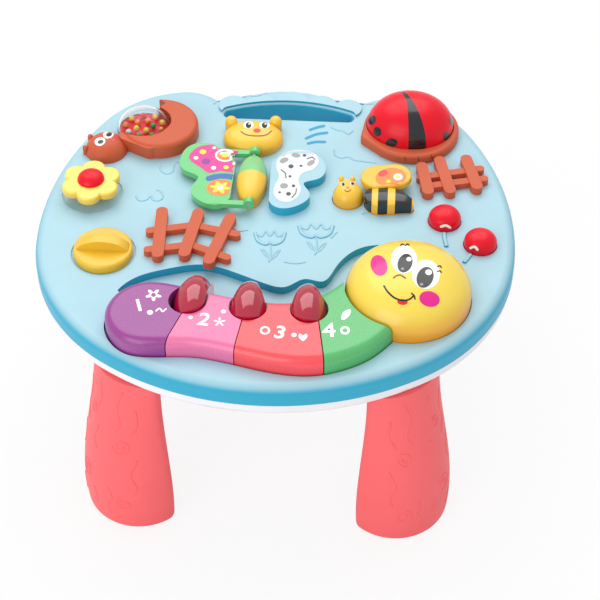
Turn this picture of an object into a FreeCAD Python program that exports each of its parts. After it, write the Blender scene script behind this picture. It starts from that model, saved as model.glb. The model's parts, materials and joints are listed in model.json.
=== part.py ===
import FreeCAD, Part
import math
import os
import re

from FreeCAD import Placement, Rotation, Vector

# Driving sizes, in millimetres and degrees. X runs to the right, Y to the back, Z up from the floor,
# and places are measured from the middle of the table.
SIZES = {
    # Heights
    "deck_top": 172, "deck_side": 17, "shell_side": 11, "deck_wall": 2.6, "deck_plate": 3,
    "shell_wall": 2.5, "shell_inset": 1, "shoulder_radius": 8, "shell_edge_radius": 4.5,
    "lip_height": 3, "lip_wall": 1.6,
    # Outline of the deck, arc by arc from the middle of the front to the handle
    "front_radius": 212, "flank_radius": 150, "side_radius": 250, "corner_radius": 86,
    "shoulder_back_radius": 36, "notch_radius": 12,
    # Running clearances
    "gap": 0.3, "button_gap": 0.5, "lens_gap": 1.0, "pin_fit": 0.05,
    # Carry handle
    "slot_x": 1.5, "handle_bar": 21.4, "slot_depth": 20, "slot_corner": 5, "slot_wall": 2.5,
    "slot_edge_radius": 2.5, "cloud_rise": 2,
    # Legs
    "leg_front_x": 99, "leg_front_y": 124, "leg_front_turn": 38,
    "leg_back_x": 125, "leg_back_y": 97, "leg_back_turn": 50,
    "leg_top_width": 62, "leg_top_depth": 25, "leg_waist_width": 68, "leg_waist_depth": 33,
    "leg_full_width": 80, "leg_full_depth": 41, "leg_waist_height": 100, "leg_full_height": 48,
    "leg_corner": 8, "foot_radius": 5, "leg_hole_radius": 3.5, "leg_hole_height": 62, "leg_hole_depth": 8,
    "tenon_width": 34, "tenon_depth": 12, "tenon_height": 9, "tenon_seat": 2, "tenon_fit": 0.2, "socket_wall": 2.5,
    # Worm keyboard
    "pan_depth": 7, "pan_plate": 2.5, "pan_margin": 1.2, "key_lift": 3, "key_rise": 15, "key_edge_radius": 7,
    "key_gap": 0.8, "key_tip_x": -84, "key_tip_y": -111, "key_tip_radius": 32,
    "hinge_drop": 13, "hinge_pin_radius": 1.5, "tongue_width": 6, "tongue_depth": 5, "ear_width": 2.5,
    "ear_radius": 3.2, "plunger_radius": 3,
    "head_x": 102, "head_y": -73, "head_radius": 46.5, "head_side": 6, "head_dome": 28, "head_wall": 2.5,
    "head_ring": 3.5,
    # Key lights
    "lens_front_radius": 13, "lens_tip_radius": 4, "lens_rise": 23,
    # Buttons of the antennae
    "antenna_radius": 12.5, "antenna_side": 3, "antenna_dome": 9, "flange": 2, "flange_height": 2.5,
    "post_radius": 3,
    # Ladybug
    "ladybug_x": 101, "ladybug_y": 117, "ladybug_long": 35, "ladybug_deep": 30, "ladybug_dome": 27,
    "bezel_height": 8, "bezel_radius": 3, "bezel_reach": 38.5, "bezel_tip": 4.5, "ladybug_skin": 2.2, "ladybug_flange": 1.2,
    # Bee
    "bee_x": 81, "bee_y": 28, "bee_deep": 12, "bee_rise": 13, "bee_head_radius": 12,
    # Snail
    "snail_x": -101, "snail_y": 104, "snail_radius": 31, "snail_rise": 13, "snail_head_x": -142,
    "snail_head_y": 81, "snail_head_radius": 17, "window_x": -114, "window_y": 105, "window_long": 22,
    "window_deep": 20, "window_dome": 17, "window_wall": 1.6, "tray_height": 5, "bead_radius": 2.4,
    # Flower spinner
    "flower_x": -146, "flower_y": 29, "petal_ring": 14, "petal_radius": 9.5, "petal_height": 6,
    "flower_lift": 8, "flower_heart_radius": 10.5, "spindle_radius": 4, "spindle_height": 12,
    # Dial knob
    "knob_x": -128, "knob_y": -38, "knob_radius": 22.5, "knob_height": 6, "knob_ridge": 10,
    "knob_ridge_width": 9, "knob_shaft_radius": 6, "recess_depth": 1.2, "recess_margin": 2,
    # Butterfly
    "spine_x": -22, "spine_rise": 9, "spine_front_y": 17, "spine_split_y": 45, "spine_back_y": 72,
    "spine_half_width": 12, "spine_dome": 10, "wing_thickness": 5.2, "knuckle_width": 5, "knuckle_radius": 4,
    "butterfly_head_x": -25, "butterfly_head_y": 98, "butterfly_head_rise": 14,
    # Fences
    "rail_width": 6.5, "picket_width": 9, "fence_rise": 6.5,
    # Electronics and the underside
    "board_height": 8, "board_thickness": 1.6, "contact_height": 4.4, "contact_radius": 5,
    "speaker_x": -70, "speaker_y": 20, "speaker_radius": 26,
    "door_x": 5, "door_y": -10, "door_length": 64, "door_width": 56, "cell_room": 15,
    "switch_x": 5, "switch_y": 48, "switch_travel": 4,
    "screw_radius": 1.5, "screw_head_radius": 3, "boss_radius": 4.5, "screw_length": 15,
}

# End of each outline arc, as the angle of its outward normal
OUTLINE_TURNS = (("front_radius", 1, -58), ("flank_radius", 1, -5), ("side_radius", 1, 30),
                 ("corner_radius", 1, 80), ("shoulder_back_radius", 1, 130), ("notch_radius", -1, 55))

doc = FreeCAD.newDocument("ActivityTable")
sheet = doc.addObject("Spreadsheet::Sheet", "Sizes")
for row, (alias, number) in enumerate(SIZES.items(), 1):
    sheet.set(f"A{row}", alias)
    sheet.set(f"B{row}", str(number))
    sheet.setAlias(f"B{row}", alias)
doc.recompute()
finished = {}


def size(name):
    """The number in the sheet under this alias."""
    return float(sheet.get(name))


def linked(text):
    """An expression that reads every size it names from the sheet."""
    return re.sub(r"[a-z][a-z_]*", lambda word: "Sizes." + word[0] if word[0] in SIZES else word[0], str(text))


def bind(item, **properties):
    """Ties properties to expressions; x, y and z are the item's place."""
    for name, text in properties.items():
        path = "Placement.Base." + name if name in ("x", "y", "z") else name
        item.setExpression(path, linked(text))
    return item


def primitive(kind, name, **properties):
    return bind(doc.addObject("Part::" + kind, name), **properties)


def rod(name, radius, height, x=0, y=0, z=0):
    return primitive("Cylinder", name, Radius=radius, Height=height, x=x, y=y, z=z)


def block(name, length, width, height, x=0, y=0, z=0):
    """A box centred on x and y that stands on z."""
    return primitive("Box", name, Length=length, Width=width, Height=height,
                     x=f"({x}) - ({length}) / 2", y=f"({y}) - ({width}) / 2", z=z)


def dome(name, tall, long, deep, x=0, y=0, z=0):
    """The upper half of an ellipsoid that stands on z."""
    item = primitive("Ellipsoid", name, Radius1=tall, Radius2=long, Radius3=deep, x=x, y=y, z=z)
    item.Angle1 = 0
    item.Angle2 = 90
    return item


def oval(name, long, deep, height, x=0, y=0, z=0):
    """An upright elliptical column."""
    sketch = doc.addObject("Sketcher::SketchObject", name + "_outline")
    ends = [Vector(long, 0, 0), Vector(0, deep, 0)]
    if deep > long:
        ends.reverse()
    sketch.addGeometry(Part.Ellipse(*ends, Vector(0, 0, 0)), False)
    bind(sketch, x=x, y=y, z=z)
    return raised(name, sketch, height)


def raised(name, sketch, height):
    item = doc.addObject("Part::Extrusion", name)
    item.Base = sketch
    item.DirMode = "Custom"
    item.Dir = Vector(0, 0, 1)
    item.Solid = True
    return bind(item, LengthFwd=height)


def slab(name, edges, bottom, height):
    """A flat closed outline, raised from bottom by height."""
    sketch = doc.addObject("Sketcher::SketchObject", name + "_outline")
    sketch.addGeometry(edges, False)
    bind(sketch, z=bottom)
    return raised(name, sketch, height)


def fuse(name, *items):
    item = doc.addObject("Part::MultiFuse", name)
    item.Shapes = list(items)
    return item


def cut(name, base, *tools):
    item = doc.addObject("Part::Cut", name)
    item.Base = base
    item.Tool = tools[0] if len(tools) == 1 else fuse(name + "_tools", *tools)
    return item


def common(name, *items):
    item = doc.addObject("Part::MultiCommon", name)
    item.Shapes = list(items)
    return item


def rounded(name, base, choices):
    """Fillets the edges that each test picks, at its radius."""
    doc.recompute()
    picked = []
    for number, edge in enumerate(base.Shape.Edges, 1):
        for test, radius in choices:
            if test(edge):
                picked.append((number, radius, radius))
                break
    item = doc.addObject("Part::Fillet", name)
    item.Base = base
    item.Edges = picked
    return item


def at_height(level):
    return lambda edge: edge.BoundBox.ZMin > level - 0.01 and edge.BoundBox.ZMax < level + 0.01


def publish(name, item):
    item.Label = name
    finished[name] = item
    return item


def toward(angle):
    turn = math.radians(angle)
    return Vector(math.cos(turn), math.sin(turn), 0)


def arc(centre, radius, first, last):
    """A flat arc from angle first to angle last, anticlockwise."""
    circle = Part.Circle(centre, Vector(0, 0, 1), radius)
    return Part.ArcOfCircle(circle, math.radians(first), math.radians(last))


def line(first, last):
    return Part.LineSegment(first, last)


def loop(points):
    """A closed outline of straight edges."""
    corners = [Vector(x, y, 0) for x, y in points]
    return [line(corners[i - 1], corners[i]) for i in range(len(corners))]


def curve(points, start=None, end=None):
    spline = Part.BSplineCurve()
    corners = [Vector(x, y, 0) for x, y in points]
    if start is None:
        spline.interpolate(corners)
    else:
        spline.interpolate(Points=corners, InitialTangent=start, FinalTangent=end)
    return spline


def stadium(first, last, half_width):
    """A straight bar with round ends, between two points."""
    start, stop = Vector(*first, 0), Vector(*last, 0)
    heading = math.degrees(math.atan2(stop.y - start.y, stop.x - start.x))
    side = toward(heading + 90) * half_width
    return [line(start + side, stop + side), arc(stop, half_width, heading - 90, heading + 90),
            line(stop - side, start - side), arc(start, half_width, heading + 90, heading + 270)]


def drop(front, front_radius, tip, tip_radius):
    """A teardrop: a large round end and a small one, joined by their tangents."""
    start, stop = Vector(*front, 0), Vector(*tip, 0)
    heading = math.degrees(math.atan2(stop.y - start.y, stop.x - start.x))
    lean = math.degrees(math.acos((front_radius - tip_radius) / (stop - start).Length))
    near = [start + toward(heading + sign * lean) * front_radius for sign in (1, -1)]
    far = [stop + toward(heading + sign * lean) * tip_radius for sign in (1, -1)]
    return [line(near[0], far[0]), arc(stop, tip_radius, heading - lean, heading + lean),
            line(far[1], near[1]), arc(start, front_radius, heading + lean, heading + 360 - lean)]


def bow(width, depth, corner, spread=0):
    """A D outline: flat along X at Y 0, bulging to +Y, with round corners. Spread draws it outward."""
    reach = depth - corner
    half = width / 2 - corner
    middle = (reach ** 2 - corner ** 2 - half ** 2) / (2 * (reach - corner))
    lean = math.degrees(math.atan2(corner - middle, half))
    radius = corner + spread
    big = depth - middle + spread
    right, left = Vector(half, corner, 0), Vector(-half, corner, 0)
    return [line(Vector(-half, -spread, 0), Vector(half, -spread, 0)), arc(right, radius, -90, lean),
            arc(Vector(0, middle, 0), big, lean, 180 - lean), arc(left, radius, 180 - lean, 270)]


def moved(edges, x, y):
    for edge in edges:
        edge.translate(Vector(x, y, 0))
    return edges


# The deck's outline

def outline_arcs():
    """Each arc's centre, signed radius and first and last normal, with the whole outline's depth."""
    point, normal, arcs = Vector(0, 0, 0), -90, []
    for name, sign, last in OUTLINE_TURNS:
        radius = sign * size(name)
        centre = point - toward(normal) * radius
        arcs.append((centre, radius, normal, last))
        point, normal = centre + toward(last) * radius, last
    radius = point.x / toward(normal).x
    centre = point - toward(normal) * radius
    arcs.append((centre, radius, normal, 90))
    return arcs, centre.y + radius


def deck_outline(inset):
    """The whole outline, drawn in by inset, with its middle on the origin."""
    arcs, depth = outline_arcs()
    edges = []
    for centre, radius, first, last in arcs:
        reach = radius - inset
        low, high = (first, last) if radius > 0 else (last + 180, first + 180)
        for side in (1, -1):
            middle = Vector(side * centre.x, centre.y - depth / 2, 0)
            span = (low, high) if side > 0 else (180 - high, 180 - low)
            edges.append(arc(middle, abs(reach), *span))
    return edges


def slot_room():
    """Length of the carry slot, which runs from notch to notch, and the place of its front edge."""
    arcs, depth = outline_arcs()
    notch = arcs[-2][0]
    return 2 * notch.x, depth / 2 - size("handle_bar") - size("slot_depth")


def slot_outline(spread=0):
    length, front = slot_room()
    return moved(bow(length, size("slot_depth"), size("slot_corner"), spread), size("slot_x"), front)


DECK_RIM = "deck_top - deck_side"
SHELL_BOTTOM = "deck_top - deck_side - shell_side"
SHELL_FLOOR = "deck_top - deck_side - shell_side + shell_wall"
DECK_UNDER = "deck_top - deck_plate"
PAN_FLOOR = "deck_top - pan_depth"
PAN_UNDER = "deck_top - pan_depth - pan_plate"
BOARD_BOTTOM = SHELL_BOTTOM + " + board_height"
BOARD_TOP = BOARD_BOTTOM + " + board_thickness"
POST_BOTTOM = BOARD_TOP + " + contact_height + gap"
SCREW_PLACES = ((-150, -78), (160, -64), (-166, 60), (168, 45), (-45, 118), (48, 118), (-70, -42), (40, -42))

# The worm's keys: the joints between them, hinges, plungers and the lamps that straddle the joints
KEY_FRONT = ((-50, -141.5), (-20, -147), (15, -154.5), (44, -153), (70, -141), (92, -118))
KEY_BACK = ((-64, -82), (-40, -88.5), (-12, -94), (15, -95), (35, -88), (50, -75), (64, -58))
KEY_JOINTS = ((-50.8, -73), (-12.1, -20.9), (33.9, 44.3))
JOINT_BACK, JOINT_FRONT = -85, -155
KEY_HINGES = ((-92, -88), (-40, -96), (6, -101), (46.5, -87))
KEY_PLUNGERS = ((-84, -110), (-42, -124), (8, -128), (60, -116))
LENS_PLACES = (((-57, -100), (-45, -73)), ((-13, -104), (-13, -79)), ((31, -104), (27, -79)))
# The pan is solid out to the deck's side in front of the worm's tail
PAN_CORNER = ((-84, -111), (-127, -136), (-125, -165), (-78, -165))
MOAT = ((-112, -78), (-98, -62), (-78, -53), (-50, -47), (-27, -54), (-5, -64), (12, -67), (26, -58),
        (38, -60), (47, -46), (54, -33), (64, -23), (78, -18), (92, -19), (106, -28))


def key_band(name, spread, bottom, height):
    """The worm's body seen from above, as one band from its tail to its head."""
    centre = Vector(size("key_tip_x"), size("key_tip_y"), 0)
    radius = size("key_tip_radius") + spread
    front = [(centre.x, centre.y - radius)] + [(x, y - spread) for x, y in KEY_FRONT]
    back = [(centre.x, centre.y + radius)] + [(x, y + spread) for x, y in KEY_BACK]
    edges = [arc(centre, radius, 90, 270), curve(front, Vector(1, 0, 0), Vector(0.6, 0.8, 0)),
             curve(back, Vector(1, 0, 0), Vector(0.6, 0.8, 0)),
             line(Vector(*front[-1], 0), Vector(*back[-1], 0))]
    return slab(name, edges, bottom, height)


def joint_x(joint, y):
    back, front = joint
    return back + (front - back) * (y - JOINT_BACK) / (JOINT_FRONT - JOINT_BACK)


def lens_outline(index, spread=0):
    front, tip = LENS_PLACES[index]
    return drop(front, size("lens_front_radius") + spread, tip, size("lens_tip_radius") + spread)


def make_keys():
    whole = key_band("key_band", 0, f"{PAN_FLOOR} + key_lift", "pan_depth - key_lift + key_rise")
    top = size("deck_top") + size("key_rise")
    on_top = at_height(top)
    band = rounded("key_band_rounded", whole,
                   [(lambda edge: on_top(edge) and edge.Curve.TypeId != "Part::GeomLine", size("key_edge_radius"))])
    room = fuse("key_room", rod("key_head_room", "head_radius + lens_gap", 60, "head_x", "head_y", PAN_UNDER),
                *[slab(f"key_lens_room_{i}", lens_outline(i, size("lens_gap")), PAN_UNDER, 60) for i in range(3)])
    half = size("key_gap") / 2
    for index, (hinge, plunger) in enumerate(zip(KEY_HINGES, KEY_PLUNGERS)):
        ends = []
        for y in (-40, -170):
            left = joint_x(KEY_JOINTS[index - 1], y) + half if index else -130
            right = joint_x(KEY_JOINTS[index], y) - half if index < 3 else 130
            ends.append(((left, y), (right, y)))
        sector = slab(f"key_sector_{index}", loop([ends[0][0], ends[0][1], ends[1][1], ends[1][0]]), PAN_UNDER, 60)
        cap = cut(f"key_cap_{index}", common(f"key_piece_{index}", band, sector), room)
        x, y = hinge
        tongue = block(f"key_tongue_{index}", "tongue_width", "tongue_depth",
                       f"{PAN_FLOOR} + key_lift + 1 - (deck_top - hinge_drop) + ear_radius", x, y, "deck_top - hinge_drop - ear_radius")
        bore = rod(f"key_bore_{index}", "hinge_pin_radius + pin_fit", "tongue_width + 2",
                   f"{x} - tongue_width / 2 - 1", y, "deck_top - hinge_drop")
        bore.Placement.Rotation = Rotation(Vector(0, 1, 0), 90)
        plug = rod(f"key_plunger_{index}", "plunger_radius",
                   f"{PAN_FLOOR} + key_lift + 1 - ({POST_BOTTOM})", *plunger, POST_BOTTOM)
        body = fuse(f"key_body_{index}", cap, tongue, plug)
        publish(f"key_{index + 1}", cut(f"key_whole_{index}", body, bore))


def make_hinge_pins():
    pins = []
    for index, (x, y) in enumerate(KEY_HINGES):
        length = "tongue_width + 2 * gap + 2 * ear_width"
        pin = rod(f"key_pin_{index}", "hinge_pin_radius", length, f"{x} - ({length}) / 2", y, "deck_top - hinge_drop")
        pin.Placement.Rotation = Rotation(Vector(0, 1, 0), 90)
        pins.append(pin)
    group = doc.addObject("Part::Compound", "key_pins")
    group.Links = pins
    publish("key_pivot_pins", group)


def make_lenses():
    for index in range(3):
        front, tip = LENS_PLACES[index]
        foot = slab(f"lens_foot_{index}", lens_outline(index), PAN_FLOOR, "pan_depth + 2")
        column = slab(f"lens_column_{index}", lens_outline(index), PAN_FLOOR, "pan_depth + lens_rise + 2")
        cap = dome(f"lens_dome_{index}", "lens_rise - 2", 15.5, 27, (front[0] * 2 + tip[0]) / 3, front[1] + 5,
                   "deck_top + 2")
        glow = common(f"lens_top_{index}", column, cap)
        publish(f"key_light_{index + 1}", fuse(f"lens_{index}", foot, glow))


def make_head():
    """The worm's head: a hollow domed button with a ring under the pan and a post to its contact."""
    x, y = "head_x", "head_y"
    ring_bottom = f"{PAN_UNDER} - gap - flange_height"
    side = f"deck_top + head_side - ({ring_bottom})"
    outer = fuse("head_outer", rod("head_side_wall", "head_radius", side, x, y, ring_bottom),
                 dome("head_top", "head_dome", "head_radius", "head_radius", x, y, "deck_top + head_side"),
                 rod("head_ring", "head_radius + head_ring", "flange_height", x, y, ring_bottom))
    inner = fuse("head_inner", rod("head_inner_wall", "head_radius - head_wall", side + " + 1", x, y,
                                   f"{ring_bottom} - 1"),
                 dome("head_inner_top", "head_dome - head_wall", "head_radius - head_wall",
                      "head_radius - head_wall", x, y, "deck_top + head_side"))
    post = rod("head_post", "post_radius + 1", f"deck_top + head_side + head_dome - 1 - ({POST_BOTTOM})",
               x, y, POST_BOTTOM)
    publish("worm_head", fuse("head_whole", cut("head_shell", outer, inner), post))


def make_antenna_buttons():
    for side, (x, y) in (("left", (129, 12)), ("right", (156, -13))):
        name = f"antenna_{side}"
        stem = rod(name + "_stem", "antenna_radius", "deck_plate + gap + antenna_side", x, y, f"{DECK_UNDER} - gap")
        ring = rod(name + "_ring", "antenna_radius + flange", "flange_height", x, y,
                   f"{DECK_UNDER} - gap - flange_height")
        cap = dome(name + "_cap", "antenna_dome", "antenna_radius", "antenna_radius", x, y,
                   "deck_top + antenna_side")
        post = rod(name + "_post", "post_radius", f"{DECK_UNDER} - ({POST_BOTTOM})", x, y, POST_BOTTOM)
        publish(f"antenna_button_{side}", fuse(name, stem, ring, cap, post))


def bezel_outline():
    """A round frame with one pointed corner at its left."""
    x, y = size("ladybug_x"), size("ladybug_y")
    return drop((x + 1, y - 1), size("bezel_reach"), (x - 35, y - 14), size("bezel_tip"))


LADYBUG_SPLIT = ((92.6, 151), (91.2, 151), (92.4, 130), (97.4, 112), (100.5, 80), (118.5, 80), (102.2, 114), (94, 131))


def make_ladybug():
    x, y = "ladybug_x", "ladybug_y"
    frame = rounded("bezel_rounded", slab("bezel_block", bezel_outline(), "deck_top", "bezel_height"),
                    [(at_height(size("deck_top") + size("bezel_height")), size("bezel_radius"))])
    bore = oval("bezel_bore", size("ladybug_long") + size("button_gap"), size("ladybug_deep") + size("button_gap"),
                40, x, y, DECK_RIM)
    publish("ladybug_bezel", cut("bezel", frame, bore))
    long, deep, skin = size("ladybug_long"), size("ladybug_deep"), size("ladybug_skin")
    seat = "deck_top + bezel_height"
    side_height = f"{seat} - ({DECK_UNDER}) + gap"
    outer = fuse("ladybug_outer", oval("ladybug_side", long, deep, side_height, x, y, f"{DECK_UNDER} - gap"),
                 dome("ladybug_dome", "ladybug_dome", "ladybug_long", "ladybug_deep", x, y, seat))
    inner = fuse("ladybug_inner", oval("ladybug_inner_side", long - skin, deep - skin, "bezel_height + 1", x, y,
                                       "deck_top - 1"),
                 dome("ladybug_inner_dome", "ladybug_dome - ladybug_skin", "ladybug_long - ladybug_skin",
                      "ladybug_deep - ladybug_skin", x, y, seat))
    wedge = slab("ladybug_wedge", loop(LADYBUG_SPLIT),
                 "deck_top - 1", 60)
    above = block("ladybug_above", 90, 80, 60, x, y, "deck_top - 1")
    wings = cut("ladybug_wing_pair", common("ladybug_skin_whole", outer, above), inner, wedge)
    publish("ladybug_wings", wings)
    fill = common("ladybug_ridge", outer, wedge)
    hollow = fuse("ladybug_hollow", oval("ladybug_hollow_side", long - 2 * skin - 1, deep - 2 * skin - 1,
                                         "bezel_height + 12", x, y, f"{DECK_UNDER} - 3"),
                  dome("ladybug_hollow_dome", "ladybug_dome - 2 * ladybug_skin - 1",
                       "ladybug_long - 2 * ladybug_skin - 1", "ladybug_deep - 2 * ladybug_skin - 1", x, y, seat))
    below = block("ladybug_below", 90, 80, "deck_plate + gap - 1", x, y, f"{DECK_UNDER} - gap")
    skirt = common("ladybug_skirt", outer, below)
    ring = oval("ladybug_ring", long + size("ladybug_flange"), deep + size("ladybug_flange"), "flange_height", x, y,
                f"{DECK_UNDER} - gap - flange_height")
    post = rod("ladybug_post", "post_radius + 1", f"{seat} + ladybug_dome - 5 - ({POST_BOTTOM})", x, y, POST_BOTTOM)
    shell = cut("ladybug_core", fuse("ladybug_solid", inner, fill, skirt, ring), hollow)
    publish("ladybug_body", fuse("ladybug_black", shell, post))


def bee_outline(spread=0):
    """The bee's body and head from above, as one rounded outline."""
    x, y = size("bee_x"), size("bee_y")
    body = drop((x - 2, y), size("bee_deep") + spread, (x + 20, y - 5), 4 + spread)
    return body


def make_bee():
    x, y, rise = "bee_x", "bee_y", "bee_rise"
    stem_height = "deck_plate + gap + 3"
    stem = slab("bee_stem", bee_outline(), f"{DECK_UNDER} - gap", stem_height)
    neck = rod("bee_neck", "bee_head_radius", stem_height, "bee_x - 27", "bee_y + 5", f"{DECK_UNDER} - gap")
    trunk = common("bee_trunk", slab("bee_column", bee_outline(), "deck_top + 2", rise),
                   dome("bee_back", "bee_rise - 2", 27, "bee_deep + 3", "bee_x + 2", "bee_y - 1", "deck_top + 2"))
    face = dome("bee_face", "bee_rise - 2", "bee_head_radius", "bee_head_radius", "bee_x - 27", "bee_y + 5",
                "deck_top + 3")
    horns = [rod(f"bee_horn_{i}", 2, "bee_rise - 2", f"bee_x - {24 + 9 * i}", "bee_y + 17", "deck_top")
             for i in range(2)]
    horn_tips = [dome(f"bee_horn_tip_{i}", 2, 2, 2, f"bee_x - {24 + 9 * i}", "bee_y + 17", "deck_top + bee_rise - 2")
                 for i in range(2)]
    bridge = block("bee_horn_bridge", 13, 6, "bee_rise - 3", "bee_x - 28.5", "bee_y + 14", "deck_top")
    ring = block("bee_ring", 68, 42, "flange_height", "bee_x - 7", "bee_y + 5", f"{DECK_UNDER} - gap - flange_height")
    post = rod("bee_post", "post_radius", f"{DECK_UNDER} - ({POST_BOTTOM})", "bee_x - 4", y, POST_BOTTOM)
    whole = fuse("bee_shape", stem, neck, trunk, face, bridge, *horns, *horn_tips)
    bands = fuse("bee_bands", *[block(f"bee_band_{i}", wide, 60, 30, f"bee_x + {place}", y, "deck_top + 0.4")
                                for i, (place, wide) in enumerate(((-12, 7), (0, 7.5), (16, 13)))])
    core = slab("bee_core", drop((79, 28), 9.5, (98, 23.5), 2), "deck_top - 5", "bee_rise - 1")
    stripes = cut("bee_black", common("bee_dark", common("bee_dark_trunk", fuse("bee_trunk_all", stem, trunk), bands),
                                      bands), core)
    publish("bee_stripes", stripes)
    yellow = cut("bee_yellow", fuse("bee_all", whole, ring, post), stripes)
    publish("bee_body", yellow)
    wing = slab("bee_wing_plate", stadium((76, 47), (90, 50), 13), "deck_top + 8", 5)
    wing_soft = rounded("bee_wing_rounded", wing, [(at_height(size("deck_top") + 13), 1.8)])
    foot = slab("bee_wing_foot", stadium((78, 46), (86, 48), 4), f"{DECK_UNDER} - gap", "deck_plate + gap + 9")
    publish("bee_wing", cut("bee_wing_seated", fuse("bee_wing_all", wing_soft, foot), yellow, stripes))


def bee_opening():
    grow = size("button_gap")
    bottom, height = f"{PAN_UNDER}", "pan_depth + pan_plate + 1"
    x, y = size("bee_x"), size("bee_y")
    return [slab("bee_hole_body", bee_outline(grow), bottom, height),
            rod("bee_hole_head", "bee_head_radius + button_gap", height, "bee_x - 27", "bee_y + 5", bottom),
            block("bee_hole_horns", 14, 8, height, x - 28.5, y + 15.5, bottom),
            slab("bee_hole_wing", stadium((78, 46), (86, 48), 4 + grow), bottom, height)]


def make_snail():
    x, y = "snail_x", "snail_y"
    ring = rod("snail_ring", "snail_radius", "snail_rise", x, y, "deck_top")
    away = slab("snail_away", loop([(-110, 140), (-99, 128), (-112, 112), (-140, 108), (-145, 140)]), "deck_top - 1", 30)
    arm = slab("snail_arm", stadium((-126, 88), (-106, 78), 6), "deck_top", "snail_rise - 2")
    soft_ring = rounded("snail_ring_rounded", ring, [(at_height(size("deck_top") + size("snail_rise")), 4)])
    coil = cut("snail_coil", soft_ring, away)
    seat = oval("snail_seat", size("window_long") + 0.1, size("window_deep") + 0.1, 40, "window_x", "window_y", "deck_top")
    face = dome("snail_face", "snail_rise", "snail_head_radius", "snail_head_radius", "snail_head_x",
                "snail_head_y", "deck_top")
    feelers = []
    for index, (fx, fy) in enumerate(((-158, 76), (-156, 90))):
        feelers.append(rod(f"snail_feeler_{index}", 2.2, 6, fx, fy, "deck_top"))
        feelers.append(dome(f"snail_feeler_tip_{index}", 2.2, 2.2, 2.2, fx, fy, "deck_top + 6"))
    publish("snail_body", cut("snail", fuse("snail_whole", coil, arm, face, *feelers), seat))
    publish("snail_bead_tray", oval("snail_tray", size("window_long") - 0.1, size("window_deep") - 0.1, "tray_height",
                                    "window_x", "window_y", "deck_top"))
    outer = dome("window_outer", "window_dome", "window_long", "window_deep", "window_x", "window_y",
                 "deck_top + tray_height")
    inner = dome("window_inner", "window_dome - window_wall", "window_long - window_wall",
                 "window_deep - window_wall", "window_x", "window_y", "deck_top + tray_height")
    publish("snail_window", cut("window", outer, inner))
    beads = []
    for ring_number, (count, reach) in enumerate(((5, 0.32), (9, 0.68))):
        for index in range(count):
            spot = toward(360 * index / count + 20 * ring_number)
            bead = primitive("Sphere", f"bead_{ring_number}_{index}", Radius="bead_radius",
                             x=f"window_x + window_long * {spot.x * reach:.4f}",
                             y=f"window_y + window_deep * {spot.y * reach:.4f}",
                             z="deck_top + tray_height + bead_radius")
            beads.append(bead)
    group = doc.addObject("Part::Compound", "beads")
    group.Links = beads
    publish("snail_beads", group)


def make_flower():
    x, y = "flower_x", "flower_y"
    level = "deck_top + flower_lift"
    column = rod("spindle_column", "spindle_radius + 2.5", "recess_depth + flower_lift - gap", x, y,
                 "deck_top - recess_depth")
    tip = rod("spindle_tip", "spindle_radius", "spindle_height + recess_depth", x, y, "deck_top - recess_depth")
    publish("flower_spindle", fuse("spindle", column, tip))
    petals = []
    for index in range(6):
        spot = toward(60 * index + 30)
        petals.append(rod(f"petal_{index}", "petal_radius", "petal_height", f"flower_x + petal_ring * {spot.x:.4f}",
                          f"flower_y + petal_ring * {spot.y:.4f}", level))
    disc = fuse("petal_disc", rod("petal_middle", "petal_ring", "petal_height", x, y, level), *petals)
    soft = rounded("petals_rounded", disc,
                   [(at_height(size("deck_top") + size("flower_lift") + size("petal_height")), 2)])
    bore = rod("petal_bore", "spindle_radius + pin_fit", "spindle_height - flower_lift + gap", x, y, level)
    publish("flower_petals", cut("petals", soft, bore))
    publish("flower_heart", dome("heart", 7, "flower_heart_radius", "flower_heart_radius", x, y,
                                 f"{level} + petal_height"))


def make_knob():
    x, y = "knob_x", "knob_y"
    floor = "deck_top - recess_depth"
    disc = rounded("knob_disc_rounded", rod("knob_disc", "knob_radius", "knob_height + recess_depth - gap", x, y,
                                            f"{floor} + gap"),
                   [(at_height(size("deck_top") + size("knob_height")), 2.5)])
    ridge = common("knob_ridge_arch", block("knob_ridge_plate", "2 * knob_radius - 2", "knob_ridge_width", 30, x, y,
                                            "deck_top"),
                   dome("knob_ridge_dome", "knob_ridge + 4", "knob_radius - 1", 30, x, y, "deck_top + 1"))
    shaft = rod("knob_shaft", "knob_shaft_radius", "deck_plate + 4 + recess_depth", x, y, f"{DECK_UNDER} - 4")
    neck = rod("knob_neck", "knob_shaft_radius - 2", 6, x, y, f"{DECK_UNDER} - 9")
    publish("dial_knob", fuse("knob", disc, ridge, shaft, neck))
    washer = rod("clip_disc", "knob_shaft_radius + 4", 1.6, x, y, f"{DECK_UNDER} - 4 - 1.6")
    hole = rod("clip_hole", "knob_shaft_radius - 2", 6, x, y, f"{DECK_UNDER} - 8")
    publish("knob_clip", cut("clip", washer, hole))


def fence(name, pickets, rails):
    parts = [slab(f"{name}_picket_{i}", stadium(*ends, size("picket_width") / 2), "deck_top", "fence_rise")
             for i, ends in enumerate(pickets)]
    parts += [slab(f"{name}_rail_{i}", stadium(*ends, size("rail_width") / 2), "deck_top", "fence_rise - 1.2")
              for i, ends in enumerate(rails)]
    publish(name, fuse(name + "_whole", *parts))


def make_fences():
    fence("left_fence", (((-88, 4), (-86, -43)), ((-60, 4), (-66, -41)), ((-35, 0), (-47, -48))),
          (((-95, -17), (-62, -9)), ((-62, -9), (-29, -17)), ((-94, -38), (-62, -31)), ((-62, -31), (-34, -43))))
    fence("right_fence", (((111, 69), (116, 40)), ((125, 77), (133, 42)), ((146, 80), (154, 48))),
          (((110, 57), (157, 70)), ((113, 46), (160, 58))))


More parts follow.
